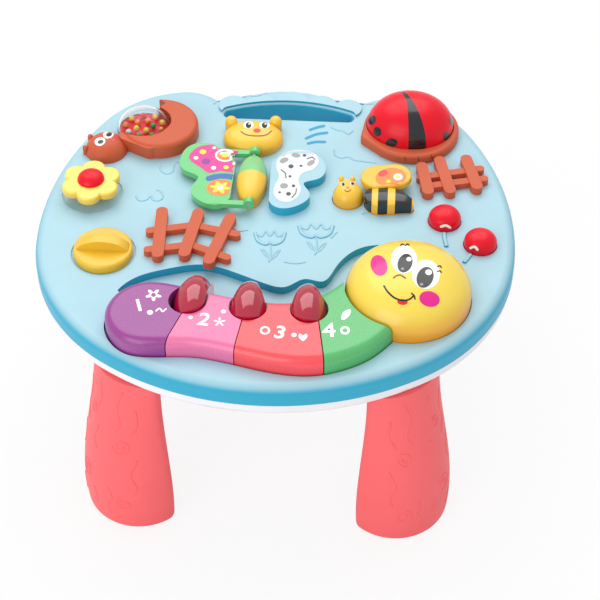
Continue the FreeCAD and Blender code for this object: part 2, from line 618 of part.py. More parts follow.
PAGE_EDGE = ((-14, 62), (-24, 75), (-36, 84), (-50, 82), (-58, 67), (-53, 50), (-42, 43), (-46, 31), (-38, 15),
             (-24, 11), (-15, 20))
BASE_EDGE = ((-14, 62), (-30, 78), (-48, 77), (-57, 62), (-52, 47), (-41, 41), (-46, 30), (-38, 15), (-24, 11),
             (-15, 20))


def wing_outline(points, flip=1):
    """A butterfly's wing: a wide lobe at the back and a round one in front, right of the spine if flip is -1."""
    axis = size("spine_x")
    inner = Vector(axis + flip * points[0][0], points[0][1], 0)
    outer = Vector(axis + flip * points[-1][0], points[-1][1], 0)
    bend = curve([(axis + flip * px, py) for px, py in points])
    return [bend, line(outer, inner)]


def make_butterfly():
    axis, axis_height = "spine_x", "deck_top + spine_rise"
    page = slab("wing_page", wing_outline(PAGE_EDGE), f"{axis_height} - wing_thickness", "wing_thickness - 0.3")
    arms, bores = [], []
    for index, (y, reach) in enumerate((("spine_front_y - knuckle_width - gap", 1), ("spine_back_y + gap", 1))):
        knuckle = rod(f"wing_knuckle_{index}", "knuckle_radius", "knuckle_width", axis, y, axis_height)
        knuckle.Placement.Rotation = Rotation(Vector(1, 0, 0), -90)
        arm = primitive("Box", f"wing_arm_{index}", Length=30, Width="knuckle_width", Height="knuckle_radius",
                        x="spine_x - 30", y=y, z=f"{axis_height} - knuckle_radius")
        bore = rod(f"wing_bore_{index}", "hinge_pin_radius + pin_fit", "knuckle_width + 2", axis, f"{y} - 1", axis_height)
        bore.Placement.Rotation = Rotation(Vector(1, 0, 0), -90)
        arms += [knuckle, arm]
        bores.append(bore)
    publish("butterfly_wing", cut("wing", fuse("wing_all", page, *arms), *bores))
    pin_length = "spine_back_y - spine_front_y + 2 * knuckle_width + 2 * gap"
    pin = rod("wing_pin", "hinge_pin_radius", pin_length, axis, "spine_front_y - knuckle_width - gap", axis_height)
    pin.Placement.Rotation = Rotation(Vector(1, 0, 0), -90)
    publish("butterfly_wing_pin", pin)
    middle = "(spine_front_y + spine_back_y) / 2"
    half = "(spine_back_y - spine_front_y) / 2"
    pill = dome("spine_dome", "spine_dome", "spine_half_width", half, axis, middle, "deck_top + spine_rise - 3")
    side = oval("spine_side", size("spine_half_width"), (size("spine_back_y") - size("spine_front_y")) / 2,
                "spine_rise - 3", axis, middle, "deck_top")
    room = rod("spine_pin_room", "hinge_pin_radius + 0.01", pin_length, axis, "spine_front_y - knuckle_width - gap",
               axis_height)
    room.Placement.Rotation = Rotation(Vector(1, 0, 0), -90)
    spine = cut("spine", fuse("spine_solid", pill, side), room)
    front_half = block("spine_front_half", 40, 60, 40, axis, "spine_split_y - 30", "deck_top")
    publish("butterfly_body_lower", common("spine_lower", spine, front_half))
    publish("butterfly_body_upper", cut("spine_upper", spine, front_half))
    x, y = size("butterfly_head_x"), size("butterfly_head_y")
    face = dome("moth_face", "butterfly_head_rise - 4", 24, 19, x, y, "deck_top + 4")
    side = oval("moth_side", 24, 19, 4, x, y, "deck_top")
    ears = []
    for index, (ear_x, ear_y) in enumerate(((-19, 15), (17, 17))):
        ears.append(rod(f"moth_ear_{index}", 5, 8, x + ear_x, y + ear_y, "deck_top"))
        ears.append(dome(f"moth_ear_tip_{index}", 5, 5, 5, x + ear_x, y + ear_y, "deck_top + 8"))
    clear = block("moth_clear", 30, 30, 40, axis, "spine_back_y + knuckle_width + 2 * gap - 15 + 0.5", "deck_top - 1")
    publish("butterfly_head", cut("moth", fuse("moth_whole", face, side, *ears), clear))


def right_wing_base():
    """The raised base on the deck that carries the butterfly's right wing."""
    return slab("wing_base", wing_outline(BASE_EDGE, -1), "deck_top - 1", "spine_rise - 0.2")


def place_leg(item, side, end):
    """Sets a piece drawn at the origin, bulging to +Y, on its leg's place."""
    y = f"-leg_{end}_y" if end == "front" else f"leg_{end}_y"
    x = f"leg_{end}_x" if side == "right" else f"-leg_{end}_x"
    item.Placement = Placement(Vector(0, 0, 0), Rotation(Vector(0, 0, 1), leg_heading(side, end)))
    return bind(item, x=x, y=y)


def leg_section(name, body, height, width, depth, back):
    sketch = body.newObject("Sketcher::SketchObject", name)
    plane = [item for item in body.Origin.OriginFeatures if item.Role == "XY_Plane"][0]
    sketch.AttachmentSupport = (plane, "")
    sketch.MapMode = "FlatFace"
    sketch.addGeometry(moved(bow(width, depth, size("leg_corner")), 0, -back), False)
    sketch.setExpression("AttachmentOffset.Base.z", linked(height))
    return sketch


def make_leg(side, end):
    """A trunk lofted through D sections, with the tenon that locks into the shell."""
    name = f"{end}_{side}_leg"
    body = doc.addObject("PartDesign::Body", name + "_body")
    rows = ((SHELL_BOTTOM, "leg_top", 5), ("leg_waist_height", "leg_waist", 2),
            ("leg_full_height", "leg_full", 0), ("0", "leg_full", 0))
    sections = [leg_section(f"{name}_section_{i}", body, height, size(key + "_width"), size(key + "_depth"), back)
                for i, (height, key, back) in enumerate(rows)]
    loft = body.newObject("PartDesign::AdditiveLoft", name + "_loft")
    loft.Profile = sections[0]
    loft.Sections = sections[1:]
    doc.recompute()
    foot = body.newObject("PartDesign::Fillet", name + "_foot")
    edges = [f"Edge{i}" for i, edge in enumerate(loft.Shape.Edges, 1) if at_height(0)(edge)]
    foot.Base = (loft, edges)
    foot.setExpression("Radius", linked("foot_radius"))
    place_leg(body, side, end)
    tenon = primitive("Box", name + "_tenon", Length="tenon_width", Width="tenon_depth", Height="tenon_height + 1")
    tenon.Placement = Placement(Vector(0, 0, 0), Rotation(Vector(0, 0, 1), body.Placement.Rotation.toEuler()[0]))
    seat_tenon(tenon, side, end, f"{SHELL_BOTTOM} - 1", "tenon_width", "tenon_depth")
    hole = rod(name + "_hole", "leg_hole_radius", "leg_hole_depth + 10")
    outward = body.Placement.Rotation.multVec(Vector(0, 1, 0))
    start = size("leg_full_depth") - size("leg_hole_depth") - 1
    base = Vector(body.Placement.Base.x, body.Placement.Base.y, 0) + outward * start
    hole.Placement = Placement(Vector(base.x, base.y, size("leg_hole_height")), Rotation(Vector(0, 0, 1), outward))
    publish(name, cut(name + "_whole", fuse(name + "_solid", body, tenon), hole))


def seat_tenon(item, side, end, bottom, width, depth):
    """Centres a box on the leg's axis, inside the leg's top section."""
    heading = item.Placement.Rotation
    middle = f"({depth}) / 2"
    across = heading.multVec(Vector(1, 0, 0))
    outward = heading.multVec(Vector(0, 1, 0))
    sign_y = "-" if end == "front" else ""
    sign_x = "" if side == "right" else "-"
    return bind(item, z=bottom,
                x=f"{sign_x}leg_{end}_x - ({width}) / 2 * {across.x:.6f} + (tenon_seat - {middle}) * {outward.x:.6f}",
                y=f"{sign_y}leg_{end}_y - ({width}) / 2 * {across.y:.6f} + (tenon_seat - {middle}) * {outward.y:.6f}")


def leg_heading(side, end):
    turn = size(f"leg_{end}_turn")
    if end == "front":
        return 180 + turn if side == "right" else 180 - turn
    return -turn if side == "right" else turn


def socket_parts():
    """The bosses that take the legs, and the pockets inside them."""
    bosses, pockets = [], []
    for side in ("left", "right"):
        for end in ("front", "back"):
            grow = {"boss": "2 * (socket_wall + tenon_fit)", "pocket": "2 * tenon_fit"}
            for kind, extra in grow.items():
                width, depth = f"tenon_width + {extra}", f"tenon_depth + {extra}"
                height = "tenon_height + 2.5" if kind == "boss" else "tenon_height + 1 + gap"
                box = primitive("Box", f"{kind}_{end}_{side}", Length=width, Width=depth, Height=height)
                box.Placement = Placement(Vector(0, 0, 0), Rotation(Vector(0, 0, 1), leg_heading(side, end)))
                bottom = SHELL_BOTTOM if kind == "boss" else f"{SHELL_BOTTOM} - 1"
                seat_tenon(box, side, end, bottom, width, depth)
                (bosses if kind == "boss" else pockets).append(box)
    return bosses, pockets


def make_deck():
    outer = slab("deck_block", deck_outline(0), DECK_RIM, "deck_side")
    outer = cut("deck_slotted", outer, slab("deck_slot", slot_outline(), "deck_top - 40", 60))
    top = size("deck_top")
    on_top = at_height(top)
    length, front = slot_room()
    slot_front, slot_back = front - 1, front + size("slot_depth") + 1
    half = length / 2 + 1

    def on_slot(edge):
        box = edge.BoundBox
        inside = box.YMin > slot_front and box.YMax < slot_back
        return on_top(edge) and inside and abs(box.Center.x - size("slot_x")) < half

    skin = rounded("deck_rounded", outer, [(on_slot, size("slot_edge_radius")), (on_top, size("shoulder_radius"))])
    hollow = rounded("deck_hollow", slab("deck_hollow_block", deck_outline(size("deck_wall")), f"{DECK_RIM} - 1",
                                         "deck_side - deck_plate + 1"),
                     [(at_height(top - size("deck_plate")), 5)])
    slot_ring = slab("deck_slot_ring", slot_outline(size("slot_wall")), f"{DECK_RIM} - 1", "deck_side")
    clouds = [rod(f"cloud_{i}", radius, "cloud_rise + 5", x, y, "deck_top - 5")
              for i, (x, y, radius) in enumerate(((-45, 143, 12), (-22, 146, 12), (3, 149, 14), (28, 147, 12),
                                                  (50, 144, 11)))]
    cloud = cut("cloud", fuse("clouds", *clouds), slab("cloud_slot", slot_outline(2), "deck_top - 40", 60))
    margin = size("pan_margin")
    wall = size("pan_plate")
    pan_bottom, pan_height = PAN_UNDER, "pan_depth + pan_plate - 1"
    pans = [key_band("pan_outer", margin + wall, pan_bottom, pan_height),
            slab("moat_outer", moat_edges(wall), pan_bottom, pan_height),
            rod("pan_head_outer", "head_radius + head_ring + pan_plate", pan_height, "head_x", "head_y", pan_bottom),
            slab("pan_corner", loop(PAN_CORNER), pan_bottom, pan_height)]
    shell = cut("deck_shell", skin, cut("deck_cavity", hollow, slot_ring, *pans))
    wells = [key_band("pan_inner", margin, PAN_FLOOR, 30),
             slab("moat_inner", moat_edges(0), PAN_FLOOR, 30),
             rod("head_hole", "head_radius + button_gap", 40, "head_x", "head_y", f"{PAN_UNDER} - 1")]
    bosses = [rod(f"deck_boss_{i}", "boss_radius - 0.5", f"{DECK_UNDER} - ({SHELL_BOTTOM}) - 5.5", x, y,
                  f"{SHELL_BOTTOM} + 6") for i, (x, y) in enumerate(SCREW_PLACES)]
    pilots = [rod(f"deck_pilot_{i}", "screw_radius + pin_fit", "screw_length + 1", x, y, f"{SHELL_BOTTOM} + 2")
              for i, (x, y) in enumerate(SCREW_PLACES)]
    ears = []
    for index, (x, y) in enumerate(KEY_HINGES):
        for side in (-1, 1):
            place = f"{x} + ({side}) * (tongue_width / 2 + gap + ear_width / 2)"
            ears.append(block(f"ear_{index}_{side + 1}", "ear_width", "2 * ear_radius",
                              f"{PAN_UNDER} + 0.5 - (deck_top - hinge_drop) + ear_radius", place, y, "deck_top - hinge_drop - ear_radius"))
    slots = [block(f"tongue_slot_{i}", "tongue_width + 2 * gap", "tongue_depth + 4", "pan_plate + 2", x, y,
                   f"{PAN_UNDER} - 1") for i, (x, y) in enumerate(KEY_HINGES)]
    slots += [rod(f"plunger_hole_{i}", "plunger_radius + lens_gap", "pan_plate + 2", x, y, f"{PAN_UNDER} - 1")
              for i, (x, y) in enumerate(KEY_PLUNGERS)]
    for index, (x, y) in enumerate(KEY_HINGES):
        bore = rod(f"ear_bore_{index}", "hinge_pin_radius + 0.01", "tongue_width + 2 * gap + 2 * ear_width + 2",
                   f"{x} - tongue_width / 2 - gap - ear_width - 1", y, "deck_top - hinge_drop")
        bore.Placement.Rotation = Rotation(Vector(0, 1, 0), 90)
        slots.append(bore)
    holes = [rod(f"antenna_hole_{i}", "antenna_radius + button_gap", 20, x, y, "deck_top - 10")
             for i, (x, y) in enumerate(((129, 12), (156, -13)))]
    holes += bee_opening()
    holes.append(oval("ladybug_hole", size("ladybug_long") + size("button_gap"),
                      size("ladybug_deep") + size("button_gap"), 20, "ladybug_x", "ladybug_y", "deck_top - 10"))
    holes.append(rod("knob_recess", "knob_radius + recess_margin", 10, "knob_x", "knob_y", "deck_top - recess_depth"))
    holes.append(rod("knob_hole", "knob_shaft_radius + pin_fit", 20, "knob_x", "knob_y", "deck_top - 10"))
    holes.append(rod("flower_recess", "petal_ring + petal_radius", 10, "flower_x", "flower_y",
                     "deck_top - recess_depth"))
    solid = fuse("deck_solid", shell, cloud, *bosses, *ears, right_wing_base())
    publish("top_deck", cut("deck", solid, *wells, *slots, *pilots, *holes))


def moat_edges(spread):
    """The recess behind the keys, from the worm's tail round the back of its head."""
    points = [(x, y + spread) for x, y in MOAT]
    return [curve(points), line(Vector(*points[-1], 0), Vector(100, -90, 0)),
            line(Vector(100, -90, 0), Vector(-90, -105, 0)), line(Vector(-90, -105, 0), Vector(*points[0], 0))]


def make_shell():
    inset, wall = size("shell_inset"), size("shell_wall")
    outer = slab("shell_block", deck_outline(inset), SHELL_BOTTOM, "shell_side")
    soft = rounded("shell_rounded", outer,
                   [(at_height(size("deck_top") - size("deck_side") - size("shell_side")), size("shell_edge_radius"))])
    hollow = slab("shell_hollow", deck_outline(inset + wall), SHELL_FLOOR, 30)
    lip_out = size("deck_wall") + 0.3
    lip_block = slab("lip_block", deck_outline(lip_out), f"{DECK_RIM} - 4", "lip_height + 4")
    lip_room = slab("lip_room", deck_outline(lip_out + size("lip_wall")), f"{DECK_RIM} - 5", 30)
    lip_break = slab("lip_break", slot_outline(size("slot_wall") + 3), f"{DECK_RIM} - 5", 30)
    lip = cut("lip", lip_block, lip_room, lip_break)
    slot_ring = slab("shell_slot_ring", slot_outline(size("slot_wall")), SHELL_BOTTOM, "shell_side - gap")
    slot = slab("shell_slot", slot_outline(), f"{SHELL_BOTTOM} - 10", 60)
    socket_bosses, pockets = socket_parts()
    bosses = [rod(f"shell_boss_{i}", "boss_radius", 5.7, x, y, SHELL_BOTTOM) for i, (x, y) in enumerate(SCREW_PLACES)]
    bores = [rod(f"shell_bore_{i}", "screw_radius + 0.2", 30, x, y, f"{SHELL_BOTTOM} - 1")
             for i, (x, y) in enumerate(SCREW_PLACES)]
    bores += [rod(f"shell_counter_{i}", "screw_head_radius + 0.2", 3.5, x, y, f"{SHELL_BOTTOM} - 1")
              for i, (x, y) in enumerate(SCREW_PLACES)]
    cells = block("cell_box", "door_length", "door_width", "cell_room + shell_wall", "door_x", "door_y", SHELL_BOTTOM)
    cell_room = block("cell_room_block", "door_length - 4", "door_width - 4", "cell_room + 1", "door_x", "door_y",
                      f"{SHELL_BOTTOM} - 1")
    screw_y = "door_y + door_width / 2 - 6"
    cell_boss = block("cell_boss", 8, 10, "cell_room + 2", "door_x", f"{screw_y} + 1", f"{SHELL_BOTTOM} - 1")
    cell_room = cut("cell_room_free", cell_room, cell_boss)
    door_pilot = rod("door_pilot", "screw_radius + pin_fit", 8, "door_x", screw_y, f"{SHELL_BOTTOM} - 1")
    door_seat = block("door_seat", "door_length + 2 * gap - 2", "door_width + 2 * gap - 2", 3, "door_x", "door_y",
                      f"{SHELL_BOTTOM} - 1")
    grille = [rod("grille_middle", 1.8, 8, "speaker_x", "speaker_y", f"{SHELL_BOTTOM} - 1")]
    for count, reach in ((6, 8), (10, 16)):
        for index in range(count):
            spot = toward(360 * index / count) * reach
            grille.append(rod(f"grille_{reach}_{index}", 1.8, 8, f"speaker_x + {spot.x:.4f}",
                              f"speaker_y + {spot.y:.4f}", f"{SHELL_BOTTOM} - 1"))
    switch_slot = block("switch_slot", "8 + 2 * switch_travel", 6, 8, "switch_x", "switch_y", f"{SHELL_BOTTOM} - 1")
    board_posts = [rod(f"board_post_{i}", 3, "board_height", x, y, SHELL_BOTTOM)
                   for i, (x, y) in enumerate(BOARD_POSTS)]
    solid = fuse("shell_solid", cut("shell_tray", soft, hollow), lip, slot_ring, *socket_bosses, *bosses, cells,
                 *board_posts)
    trimmed = cut("shell", solid, slot, *pockets, *bores, cell_room, door_seat, door_pilot, *grille,
                  switch_slot)
    publish("bottom_shell", trimmed)


BOARD_POSTS = ((-80, -104), (20, -116), (66, -118), (90, -84), (98, -40), (98, 90), (150, 5))


def make_electronics():
    keys = fuse("key_board", block("key_board_left", 34, 22, "board_thickness", -77, -105, BOARD_BOTTOM),
                block("key_board_right", 136, 28, "board_thickness", 5, -119, BOARD_BOTTOM))
    publish("key_circuit_board", keys)
    parts = [block("button_board_long", 23, 218, "board_thickness", 95.4, 17, BOARD_BOTTOM),
             block("button_board_side", 60, 46, "board_thickness", 134, 0, BOARD_BOTTOM),
             block("button_board_bee", 22, 24, "board_thickness", 76, 28, BOARD_BOTTOM)]
    publish("button_circuit_board", fuse("button_board", *parts))
    places = {f"key_{i + 1}": place for i, place in enumerate(KEY_PLUNGERS)}
    places.update(head=("head_x", "head_y"), ladybug=("ladybug_x", "ladybug_y"), bee=("bee_x - 4", "bee_y"),
                  antenna_left=(129, 12), antenna_right=(156, -13))
    for name, (x, y) in places.items():
        publish(f"contact_{name}", primitive("Cone", f"cone_{name}", Radius1="contact_radius",
                                             Radius2="contact_radius - 1.5", Height="contact_height",
                                             x=x, y=y, z=BOARD_TOP))
    magnet = rod("speaker_magnet", "speaker_radius * 0.45", 5, "speaker_x", "speaker_y", f"{SHELL_FLOOR} + 9")
    basket = primitive("Cone", "speaker_basket", Radius1="speaker_radius", Radius2="speaker_radius * 0.5", Height=7,
                       x="speaker_x", y="speaker_y", z=f"{SHELL_FLOOR} + 2")
    ring = rod("speaker_ring", "speaker_radius", 2, "speaker_x", "speaker_y", SHELL_FLOOR)
    bowl = primitive("Cone", "speaker_bowl", Radius1="speaker_radius - 3", Radius2="speaker_radius * 0.3", Height=7,
                     x="speaker_x", y="speaker_y", z=f"{SHELL_FLOOR} - 0.5")
    publish("speaker", cut("speaker_whole", fuse("speaker_solid", magnet, basket, ring), bowl))


def make_underside():
    door = block("door_plate", "door_length - 2", "door_width - 2", 2, "door_x", "door_y", SHELL_BOTTOM)
    bore = rod("door_bore", "screw_radius + 0.1", 6, "door_x", "door_y + door_width / 2 - 6", f"{SHELL_BOTTOM} - 1")
    counter = rod("door_counter", "screw_head_radius + 0.1", 2, "door_x", "door_y + door_width / 2 - 6",
                  f"{SHELL_BOTTOM} - 1")
    publish("battery_door", cut("door", door, bore, counter))
    head = rod("door_screw_head", "screw_head_radius", 1, "door_x", "door_y + door_width / 2 - 6", SHELL_BOTTOM)
    shank = rod("door_screw_shank", "screw_radius", 5, "door_x", "door_y + door_width / 2 - 6", SHELL_BOTTOM)
    publish("battery_door_screw", fuse("door_screw", head, shank))
    plates = []
    for side in (-1, 1):
        for row_number in (-1, 0, 1):
            plates.append(block(f"contact_plate_{side + 1}_{row_number + 1}", 0.6, 10, 10,
                                f"door_x + ({side}) * (door_length / 2 - 2 - 0.3)", f"door_y + {15 * row_number}",
                                f"{SHELL_BOTTOM} + 4"))
    group = doc.addObject("Part::Compound", "contact_plates")
    group.Links = plates
    publish("battery_contacts", group)
    cap = block("switch_cap", 6, 5.2, 5, "switch_x", "switch_y", f"{SHELL_FLOOR} - 2.2")
    plate = block("switch_plate", 14, 9, 2, "switch_x", "switch_y", f"{SHELL_FLOOR} + gap")
    publish("power_switch", fuse("switch_slider", cap, plate))
    housing = block("switch_block", "24 + 2 * switch_travel", 16, 8, "switch_x", "switch_y", SHELL_FLOOR)
    hollow = block("switch_hollow", "15 + 2 * switch_travel", 9.6, 5, "switch_x", "switch_y", f"{SHELL_FLOOR} - 1")
    publish("switch_housing", cut("switch_house", housing, hollow))
    screws = []
    for index, (x, y) in enumerate(SCREW_PLACES):
        head = rod(f"screw_head_{index}", "screw_head_radius", 2, x, y, f"{SHELL_BOTTOM} + 0.5")
        shank = rod(f"screw_shank_{index}", "screw_radius", "screw_length", x, y, f"{SHELL_BOTTOM} + 0.5")
        screws.append(fuse(f"screw_{index}", head, shank))
    group = doc.addObject("Part::Compound", "screws")
    group.Links = screws
    publish("case_screws", group)


def check_and_write():
    doc.recompute()
    bad = [item.Name for item in doc.Objects if {"Invalid", "Error"} & set(item.State)]
    for name, item in finished.items():
        shape = item.Shape
        if shape.isNull() or not shape.isValid() or not shape.Solids:
            bad.append(name)
    if bad:
        raise RuntimeError("failed objects: " + ", ".join(bad))
    os.makedirs("parts", exist_ok=True)
    for name, item in finished.items():
        item.Shape.exportStep(f"parts/{name}.step")
        print(name, len(item.Shape.Solids), "solids", round(item.Shape.Volume), "mm3")


make_deck()
make_shell()
for leg_side in ("left", "right"):
    for leg_end in ("front", "back"):
        make_leg(leg_side, leg_end)
make_keys()
make_hinge_pins()
make_lenses()
make_head()
make_antenna_buttons()
make_ladybug()
make_bee()
make_snail()
make_flower()
make_knob()
make_fences()
make_butterfly()
make_electronics()
make_underside()
check_and_write()
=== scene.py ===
import json
import math

import bpy
from mathutils import Matrix, Vector
from mathutils.bvhtree import BVHTree
from mathutils.geometry import delaunay_2d_cdt


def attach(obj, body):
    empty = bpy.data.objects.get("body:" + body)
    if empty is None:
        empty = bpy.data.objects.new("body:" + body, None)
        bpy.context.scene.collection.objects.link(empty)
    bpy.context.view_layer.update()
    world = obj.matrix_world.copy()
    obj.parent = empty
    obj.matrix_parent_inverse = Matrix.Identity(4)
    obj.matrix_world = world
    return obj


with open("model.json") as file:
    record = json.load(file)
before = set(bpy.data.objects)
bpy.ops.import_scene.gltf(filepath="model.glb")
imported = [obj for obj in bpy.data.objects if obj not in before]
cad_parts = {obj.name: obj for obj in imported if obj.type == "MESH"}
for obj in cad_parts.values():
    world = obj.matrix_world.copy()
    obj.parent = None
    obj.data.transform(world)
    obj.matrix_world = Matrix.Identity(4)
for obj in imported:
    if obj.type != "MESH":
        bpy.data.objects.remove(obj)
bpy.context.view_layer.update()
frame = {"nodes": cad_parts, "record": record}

MM = 0.001
FRAME = 600

# Camera: aimed at the middle of the deck from the photograph's angle
ELEVATION = math.radians(43)
AZIMUTH = math.radians(4.5)
DISTANCE = 1.3
DECK_MIDDLE = Vector((0, -0.0207, 0.172))
DECK_PIXEL = (275, 243)
LENS = 102.73
SENSOR = 36
FOCAL = LENS / SENSOR * FRAME

back = Vector((math.sin(AZIMUTH) * math.cos(ELEVATION), -math.cos(AZIMUTH) * math.cos(ELEVATION),
               math.sin(ELEVATION)))
right = Vector((math.cos(AZIMUTH), math.sin(AZIMUTH), 0))
up = back.cross(right)
eye = DECK_MIDDLE + back * DISTANCE
aim = (right * (FRAME / 2 - DECK_PIXEL[0]) - up * (FRAME / 2 - DECK_PIXEL[1])) / FOCAL - back
camera_data = bpy.data.cameras.new("camera")
camera_data.lens = LENS
camera_data.sensor_width = SENSOR
camera_data.dof.use_dof = False
camera = bpy.data.objects.new("camera", camera_data)
bpy.context.collection.objects.link(camera)
turn = aim.to_track_quat("-Z", "Y")
camera.matrix_world = Matrix.Translation(eye) @ turn.to_matrix().to_4x4()
bpy.context.scene.camera = camera
bpy.context.scene.view_settings.view_transform = "Standard"


# Finishes

def linear(tone, scale=1.0):
    """A linear colour from an sRGB one of 0 to 255."""
    return [min(1, scale * (((c / 255 + 0.055) / 1.055) ** 2.4 if c > 10 else c / 3295)) for c in tone] + [1]


def add_node(tree, kind, values=(), **attributes):
    item = tree.nodes.new("ShaderNode" + kind)
    for key, value in attributes.items():
        setattr(item, key, value)
    for key, value in dict(values).items():
        item.inputs[key].default_value = value
    return item


# Shares of a finish that every plastic has alike
COAT_ROUGHNESS = 0.08
FLOW_SCALE = 38
GLOSS_SPREAD = 0.06
SKIN_DEPTH = 0.0002
# The rise of a face's normal, in thousandths, over which the painted shade of the upright faces gives way to
# the flat tone
WALL_SHADE_SPAN = (300, 950)


def finish_like(name, tone, rough=0.3, coat=0.5, bottom_shade_and_tone=None, wall_shade=None, grain=1800, bump=0.05, tint=0.05,
                **shader):
    """A moulded plastic: faint flow marks in its colour, uneven gloss and a fine skin.
    The height fade is a second tone, and the heights in millimetres from which and to which it gives way to
    the first: darker towards the bottom, partly painted shade and partly the piece's own tone.
    The upright-face tone is painted shade: a darker second tone for the upright faces."""
    paint = bpy.data.materials.new(name)
    paint.use_nodes = True
    tree = paint.node_tree
    surface = tree.nodes["Principled BSDF"]
    surface.inputs["Coat Weight"].default_value = coat
    surface.inputs["Coat Roughness"].default_value = COAT_ROUGHNESS
    for key, value in shader.items():
        surface.inputs[key.replace("_", " ")].default_value = value
    link = tree.links.new
    place = add_node(tree, "TexCoord").outputs["Object"]
    cloud = add_node(tree, "TexNoise", {"Scale": FLOW_SCALE, "Detail": 3, "Roughness": 0.55})
    link(place, cloud.inputs["Vector"])
    shades = add_node(tree, "Mix", data_type="RGBA")
    shades.inputs["A"].default_value = linear(tone, 1 - tint)
    shades.inputs["B"].default_value = linear(tone, 1 + tint)
    link(cloud.outputs["Fac"], shades.inputs["Factor"])
    colour = shades.outputs["Result"]
    if bottom_shade_and_tone or wall_shade:
        second, low, high = bottom_shade_and_tone or (wall_shade, *WALL_SHADE_SPAN)
        rise = add_node(tree, "SeparateXYZ")
        link(place if bottom_shade_and_tone else add_node(tree, "NewGeometry").outputs["Normal"], rise.inputs["Vector"])
        span = add_node(tree, "MapRange", {"From Min": low * MM, "From Max": high * MM},
                        interpolation_type="SMOOTHSTEP")
        link(rise.outputs["Z"], span.inputs["Value"])
        mixed = add_node(tree, "Mix", data_type="RGBA")
        mixed.inputs["A"].default_value = linear(second)
        link(span.outputs["Result"], mixed.inputs["Factor"])
        link(colour, mixed.inputs["B"])
        colour = mixed.outputs["Result"]
    link(colour, surface.inputs["Base Color"])
    skin = add_node(tree, "TexNoise", {"Scale": grain, "Detail": 2})
    link(place, skin.inputs["Vector"])
    gloss = add_node(tree, "MapRange", {"To Min": rough - GLOSS_SPREAD, "To Max": rough + GLOSS_SPREAD})
    link(skin.outputs["Fac"], gloss.inputs["Value"])
    link(gloss.outputs["Result"], surface.inputs["Roughness"])
    relief = add_node(tree, "Bump", {"Strength": bump, "Distance": SKIN_DEPTH})
    link(skin.outputs["Fac"], relief.inputs["Height"])
    link(relief.outputs["Normal"], surface.inputs["Normal"])
    return paint


# The deck's upright faces get a deeper cyan than its top: painted shade on a plastic of one colour.
DECK = finish_like("deck_blue", (165, 206, 219), rough=0.45, coat=0.12, wall_shade=(24, 168, 202), grain=1400)
SHELL = finish_like("shell_white", (240, 240, 244), rough=0.4, coat=0.1)
LEG = finish_like("leg_coral", (255, 104, 108), rough=0.45, coat=0.05, grain=1200, Specular_IOR_Level=0.35)
PURPLE = finish_like("key_purple", (152, 62, 144), rough=0.28, coat=0.3)
PINK = finish_like("key_pink", (234, 118, 166), rough=0.28, coat=0.3)
SALMON = finish_like("key_salmon", (252, 80, 88), rough=0.28, coat=0.3)
GREEN = finish_like("key_green", (90, 186, 110), rough=0.28, coat=0.3)
# The head is darker orange towards its bottom: partly painted shade, partly its own tone.
HEAD = finish_like("head_yellow", (246, 218, 84), rough=0.3, coat=0.25, bottom_shade_and_tone=((240, 160, 20), 174, 196))
YELLOW = finish_like("toy_yellow", (236, 190, 50), rough=0.32, coat=0.2)
# The bee and butterfly parts are darker orange towards their bottoms: partly painted shade, partly their own
# tone.
GOLD = finish_like("golden_yellow", (246, 200, 60), rough=0.3, coat=0.25,
                   bottom_shade_and_tone=((244, 172, 34), 172, 184))
# The petals are deeper orange towards their low edges: partly painted shade, partly their own tone.
PETAL = finish_like("petal_yellow", (250, 224, 90), rough=0.3, bottom_shade_and_tone=((248, 186, 66), 179, 186))
RED = finish_like("toy_red", (232, 6, 36), rough=0.34, coat=0.05, Specular_IOR_Level=0.3)
BLACK = finish_like("toy_black", (20, 18, 28), rough=0.22)
BROWN = finish_like("toy_brown", (202, 92, 56), rough=0.45, coat=0.05, Specular_IOR_Level=0.35)
WING_GREEN = finish_like("wing_green", (92, 196, 112), rough=0.28)
BODY_GREEN = finish_like("body_green", (136, 206, 134), rough=0.3, coat=0.25)
STEEL = finish_like("plated_steel", (190, 190, 194), rough=0.3, coat=0, Metallic=1.0)
BOARD = finish_like("board_green", (30, 96, 52), rough=0.4)
SILICONE = finish_like("silicone", (200, 200, 192), rough=0.6, coat=0)
CONE = finish_like("speaker_paper", (34, 32, 34), rough=0.8, coat=0)
PRINT_WHITE = finish_like("print_white", (252, 252, 252), rough=0.3, coat=0.3, tint=0.01)
PRINT_PALE = finish_like("print_pale", (224, 226, 230), rough=0.35, coat=0.2, tint=0.01)
PRINT_BLACK = finish_like("print_black", (22, 16, 22), rough=0.25, coat=0.4)
PRINT_MAGENTA = finish_like("print_magenta", (232, 22, 140), rough=0.3, coat=0.3)
PRINT_RED = finish_like("print_red", (226, 26, 40), rough=0.3, coat=0.3)
PRINT_ORANGE = finish_like("print_orange", (248, 130, 30), rough=0.3, coat=0.3)
PRINT_YELLOW = finish_like("print_yellow", (250, 220, 30), rough=0.3, coat=0.3)
PRINT_PURPLE = finish_like("print_purple", (130, 40, 150), rough=0.3, coat=0.3)
PRINT_BLUE = finish_like("print_blue", (36, 96, 176), rough=0.3, coat=0.3)
PRINT_GREY = finish_like("print_grey", (150, 150, 152), rough=0.3, coat=0.3)
PRINT_BROWN = finish_like("print_brown", (110, 60, 40), rough=0.35, coat=0.3)
RUBY = finish_like("lens_ruby", (212, 14, 62), rough=0.08, coat=1.0, bump=0.02, Transmission_Weight=0.35,
                   IOR=1.5)
CLEAR = finish_like("clear_dome", (252, 252, 252), rough=0.06, coat=0, bump=0.01, tint=0.01,
                    Transmission_Weight=1.0, IOR=1.3)


